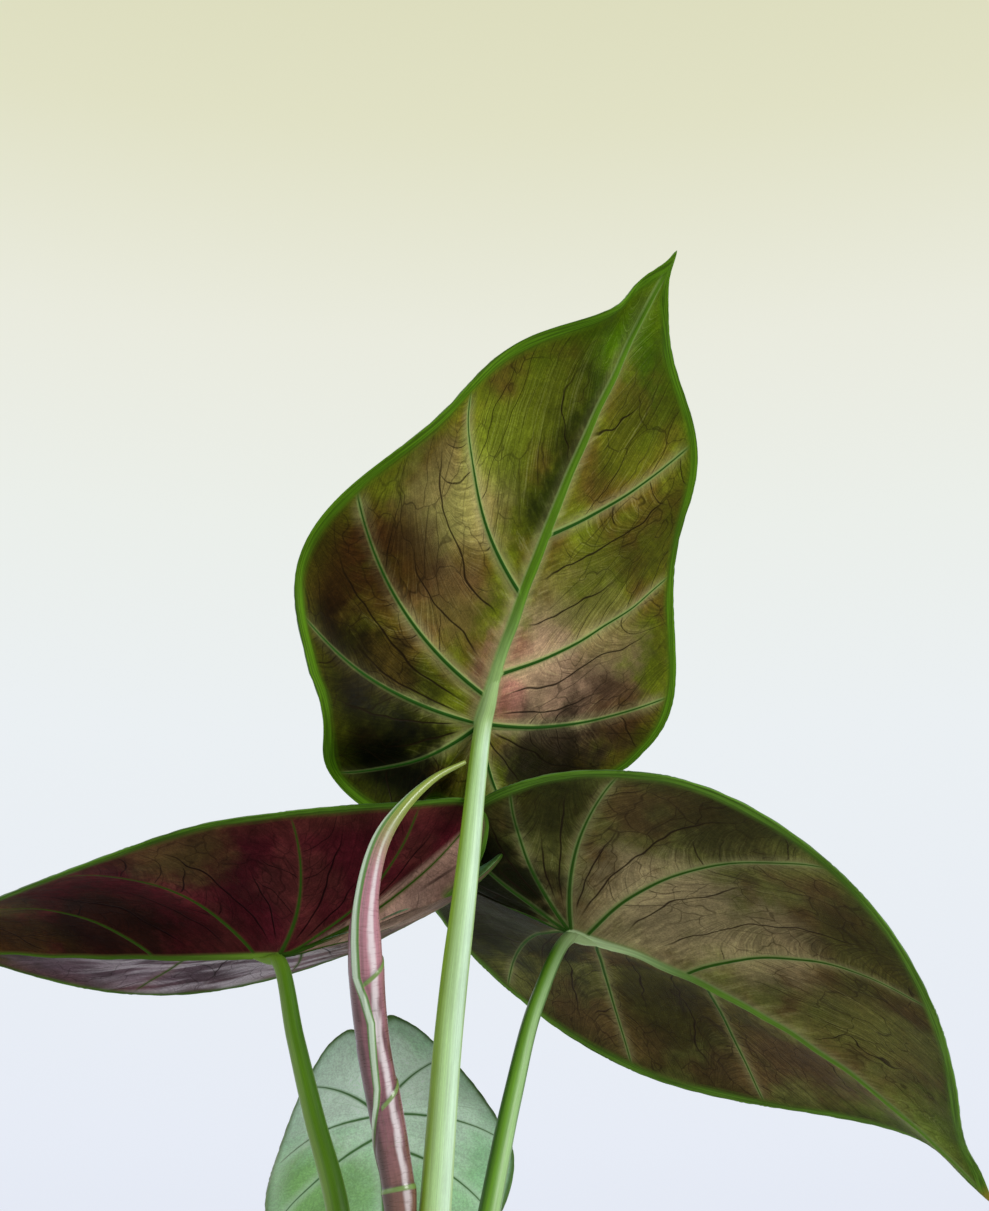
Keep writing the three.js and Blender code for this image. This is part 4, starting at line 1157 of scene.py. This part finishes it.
def stem_material(name, free_length, top, base, sunny, shaded):
    """A smooth stem: long faint streaks, painted light on one side and painted shade on the other, with a
    waxy skin, and a top like the midrib.
    """
    g = Graph(name)
    front, side, along = g.split(g.attribute("place"))
    streak = g.noise((front * 9, side * 9, along * 0.02), 1, 3, 0.6)
    cloud = g.noise((front, side, along * 0.03), 1.2, 3)
    fine = g.noise((front * 22, side * 22, along * 0.5))
    # Painted light and shade: the shaded colour on the side away from the light, the lit colour towards it,
    # and painted shade again at the rim on the lit side
    colour = side.ease(-0.85, -0.1).blend(shaded, base)
    colour = side.ease(-0.2, 0.75).blend(colour, sunny)
    colour = side.ease(0.82, 1, 0, 0.7).blend(colour, shaded)
    colour = along.ease(free_length - 14, free_length + 6).blend(colour, top)
    colour = streak.ease(0.3, 0.7, 0.87, 1.1).shade(colour)
    colour = cloud.ease(0.3, 0.7, 0.92, 1.06).shade(colour)
    colour = fine.ease(0.3, 0.7, 0.96, 1.04).shade(colour)
    foot = along.ease(70, 6, 0, 0.75) * cloud.ease(0.3, 0.6, 0.6, 1)
    colour = foot.blend(colour, (150, 132, 96))
    relief = (streak * 0.7 + fine * 0.3, FINE_RELIEF, 0.35)
    return g.surface(colour, fine.ease(0.3, 0.7, 0.3, 0.42), relief,
                     Specular_IOR_Level=0.25, Coat_Weight=0.08, Coat_Roughness=0.2)


def roll_material():
    """The rolled leaf: mauve skin with cross lines, painted shade on one side and a painted highlight on the
    other, pale midrib, green edges and a yellow-green tip.
    """
    g = Graph("roll_skin")
    front, side, along = g.split(g.attribute("place"))
    rib, below, share = g.split(g.attribute("marks"))
    across = g.noise((front * 1.2, side * 1.2, along * 1.1), 1, 3, 0.6)
    cloud = g.noise((front, side, along * 0.05), 1.3, 3)
    lengthwise = g.noise((front * 7, side * 7, along * 0.03))
    colour = cloud.ease(0.35, 0.65).blend((156, 102, 114), (108, 64, 68))
    colour = share.ease(0.5, 0.3).blend(colour, (126, 88, 72))
    colour = share.ease(0.58, 0.68, 0, 0.8).blend(colour, (206, 144, 158))
    # Painted shade: darker on the side turned away from the light, towards -X
    colour = side.ease(-0.2, -0.75, 1, 0.45).shade(colour)
    colour = across.ease(0.35, 0.65, 0.9, 1.06).shade(colour)
    colour = lengthwise.ease(0.3, 0.7, 0.9, 1.1).shade(colour)

    # A painted highlight: a pale streak along the side towards the light, on the front
    bloom_and_painted_highlight = abs(side + (cloud - 0.5) * 0.5 - 0.48).ease(0.28, 0.05, 0, 0.8)
    bloom_and_painted_highlight = bloom_and_painted_highlight * share.ease(0.28, 0.46, 0.6, 1) * front.ease(0, 0.3) * across.ease(0.3, 0.5, 0.7, 1)
    colour = bloom_and_painted_highlight.blend(colour, (250, 240, 244))
    tip_colour = lengthwise.ease(0.35, 0.65, 0.8, 1.15).shade((150, 168, 74))
    colour = share.ease(0.76, 0.88).blend(colour, tip_colour)

    # Midrib and winding edges, with a shadow under each edge
    strip = rib.ease(0.8, 0.35).blend((92, 136, 58), (210, 232, 206))
    strip = lengthwise.ease(0.35, 0.65, 0.88, 1.08).shade(strip)
    on_strip = rib.ease(1.12, 0.98) * share.ease(0.4, 0.47) * share.ease(0.97, 0.85, 0.35, 1)
    colour = on_strip.blend(colour, strip)
    colour = abs(below - 0.5).ease(1.3, 0.5).blend(colour, (122, 152, 78))
    shadow = below.ease(-2.5, -0.4) * below.ease(0, -0.3)
    colour = shadow.ease(0, 1, 1, 0.7).shade(colour)
    relief = (across * 0.7 + lengthwise * 0.3, FINE_RELIEF, 0.3)
    return g.surface(colour, across.ease(0.3, 0.7, 0.26, 0.36), relief,
                     Specular_IOR_Level=0.5, Coat_Weight=0.5, Coat_Roughness=0.2)


def pot_material():
    """Fired clay with turning marks, specks and a pale bloom, darker at its foot."""
    g = Graph("pot_clay")
    place = g.solid_place()
    z = g.split(place)[2]
    cloud = g.noise(place, 0.02, 4, 0.6)
    speck = g.noise(place, 0.8, 3, 0.7)
    turning = g.noise((0, 0, z * 0.8))
    colour = cloud.ease(0.35, 0.65).blend((186, 118, 84), (172, 102, 70))
    colour = turning.ease(0.3, 0.7, 0.93, 1.05).shade(colour)
    colour = speck.ease(0.35, 0.7, 0.88, 1.08).shade(colour)
    bloom_and_painted_highlight = g.noise(place, 0.035, 5, 0.65).ease(0.5, 0.72) * z.ease(10, 128, 0.25, 0.75)
    colour = bloom_and_painted_highlight.blend(colour, (214, 184, 160))
    colour = z.ease(9, 0, 0, 0.35).blend(colour, (120, 78, 58))
    relief = (speck * 0.6 + turning * 0.4, 0.0004, 0.5)
    return g.surface(colour, speck.ease(0.3, 0.7, 0.78, 0.92), relief, Specular_IOR_Level=0.3)


def soil_material():
    """Dark soil, with the colours of bark and perlite where a corner's kind says so."""
    g = Graph("soil_mix")
    place = g.solid_place()
    kind = g.attribute("kind", "Fac")
    cloud = g.noise(place, 0.12, 4, 0.65)
    grain = g.noise(place, 1.6, 4, 0.7)
    colour = cloud.ease(0.35, 0.65).blend((58, 42, 32), (82, 62, 46))
    colour = grain.ease(0.3, 0.7, 0.6, 1.35).shade(colour)
    bark = grain.ease(0.3, 0.7).blend((96, 62, 42), (140, 98, 66))
    colour = kind.ease(0.35, 0.45).blend(colour, bark)
    colour = kind.ease(0.7, 0.9).blend(colour, (222, 216, 204))
    return g.surface(colour, 0.92, (grain, 0.0008, 0.8), Specular_IOR_Level=0.2)


def corm_material():
    """Brown skin with fibres along it and darker rings."""
    g = Graph("corm_skin")
    x, y, z = g.split(g.solid_place())
    fibre = g.noise((x * 0.9, y * 0.9, z * 0.12), 1, 4, 0.65)
    ring = g.noise((x * 0.05, y * 0.05, z * 0.9), 1, 3)
    colour = fibre.ease(0.35, 0.65).blend((92, 70, 46), (146, 120, 82))
    colour = ring.ease(0.3, 0.7, 0.75, 1.15).shade(colour)
    return g.surface(colour, 0.8, (fibre, 0.0008, 0.8), Specular_IOR_Level=0.25)


def floor_material():
    g = Graph("floor_paint")
    cloud = g.noise(g.add("ShaderNodeTexCoord", {}, "Object"), 1.5)
    colour = cloud.ease(0.3, 0.7, 0.985, 1).shade((233, 232, 242))
    return g.surface(colour, 0.85, Specular_IOR_Level=0.2)


# Camera, light and floor

# Sky colours by height: the sine of the angle above the horizon
SKY = [
    (-1, (214, 214, 216)), (0.0, (214, 214, 216)), (0.12, (226, 231, 243)), (0.2, (231, 236, 246)),
    (0.38, (235, 240, 243)), (0.47, (235, 239, 234)), (0.55, (234, 235, 222)), (0.63, (225, 225, 197)),
    (0.7, (219, 219, 186)), (1, (228, 228, 208)),
]
ROOM_DIMNESS = 0.55  # share of its light that the sky behind the camera lacks


def add_camera():
    data = bpy.data.cameras.new("camera")
    data.sensor_width = SENSOR
    data.lens = SENSOR * FOCAL_PIXELS / max(PHOTO_WIDTH, PHOTO_HEIGHT)
    camera = bpy.data.objects.new("camera", data)
    camera.location = [c * MM for c in CAMERA_PLACE]
    camera.rotation_euler = (math.radians(90 + CAMERA_TILT), 0, 0)
    bpy.context.scene.collection.objects.link(camera)
    bpy.context.scene.camera = camera


def add_sky():
    g = Graph("studio", "worlds")
    bpy.context.scene.world = g.owner
    _, y, z = g.split(g.add("ShaderNodeTexCoord", {}, "Generated"))
    sky = g.add("ShaderNodeValToRGB", {0: (z + 1) / 2})
    stops = sky.socket.node.color_ramp.elements
    while len(stops) < len(SKY):
        stops.new(0.5)
    for stop, (height, colour) in zip(stops, SKY):
        stop.position = (height + 1) / 2
        stop.color = rgb(*colour)
    background = g.tree.nodes["Background"]
    g.put(background.inputs["Color"], sky)
    dimmer = y.ease(0.55, -0.4, 0, ROOM_DIMNESS) * z.ease(0, 0.2)
    g.put(background.inputs["Strength"], 1 - dimmer)


def add_sun(name, azimuth, elevation, strength, width, colour):
    """A soft distant light. Its azimuth turns from the front towards +X, and its width is in degrees."""
    data = bpy.data.lights.new(name, "SUN")
    data.energy = strength
    data.angle = math.radians(width)
    data.color = colour
    sun = bpy.data.objects.new(name, data)
    sun.rotation_euler = (math.radians(90 - elevation), 0, math.radians(azimuth))
    bpy.context.scene.collection.objects.link(sun)


def add_floor():
    bpy.ops.mesh.primitive_plane_add(size=40)
    floor = bpy.context.object
    floor.name = "floor"
    floor.data.materials.append(floor_material())


bpy.context.scene.view_settings.view_transform = "Standard"
add_camera()
add_sky()
add_floor()
add_sun("key", 52, 22, 1.5, 24, (1, 1, 0.98))
add_sun("fill", -60, 10, 0.35, 40, (0.95, 1, 0.9))

place_piece(pot("plant_pot", pot_material()), "pot")
place_piece(soil("soil_surface", soil_material()), "soil")
place_piece(corm("corm_body", corm_material()), "corm")
place_piece(rolled_leaf("rolled_leaf", roll_material()), "leaf_rolled")
for leaf_name, leaf in LEAVES.items():
    upper_face = blade_material(leaf_name + "_upper", leaf, UPPER_LOOKS[leaf_name])
    lower_face = blade_material(leaf_name + "_under", leaf, LOWER_LOOKS[leaf_name])
    place_piece(blade("blade_" + leaf_name, leaf, upper_face, lower_face), "leaf_" + leaf_name)
    skin = stem_material("stem_skin_" + leaf_name, stem_line(leaf)[2], *STEM_COLOURS[leaf_name])
    place_piece(stem("petiole_" + leaf_name, leaf, skin), "stem_" + leaf_name)
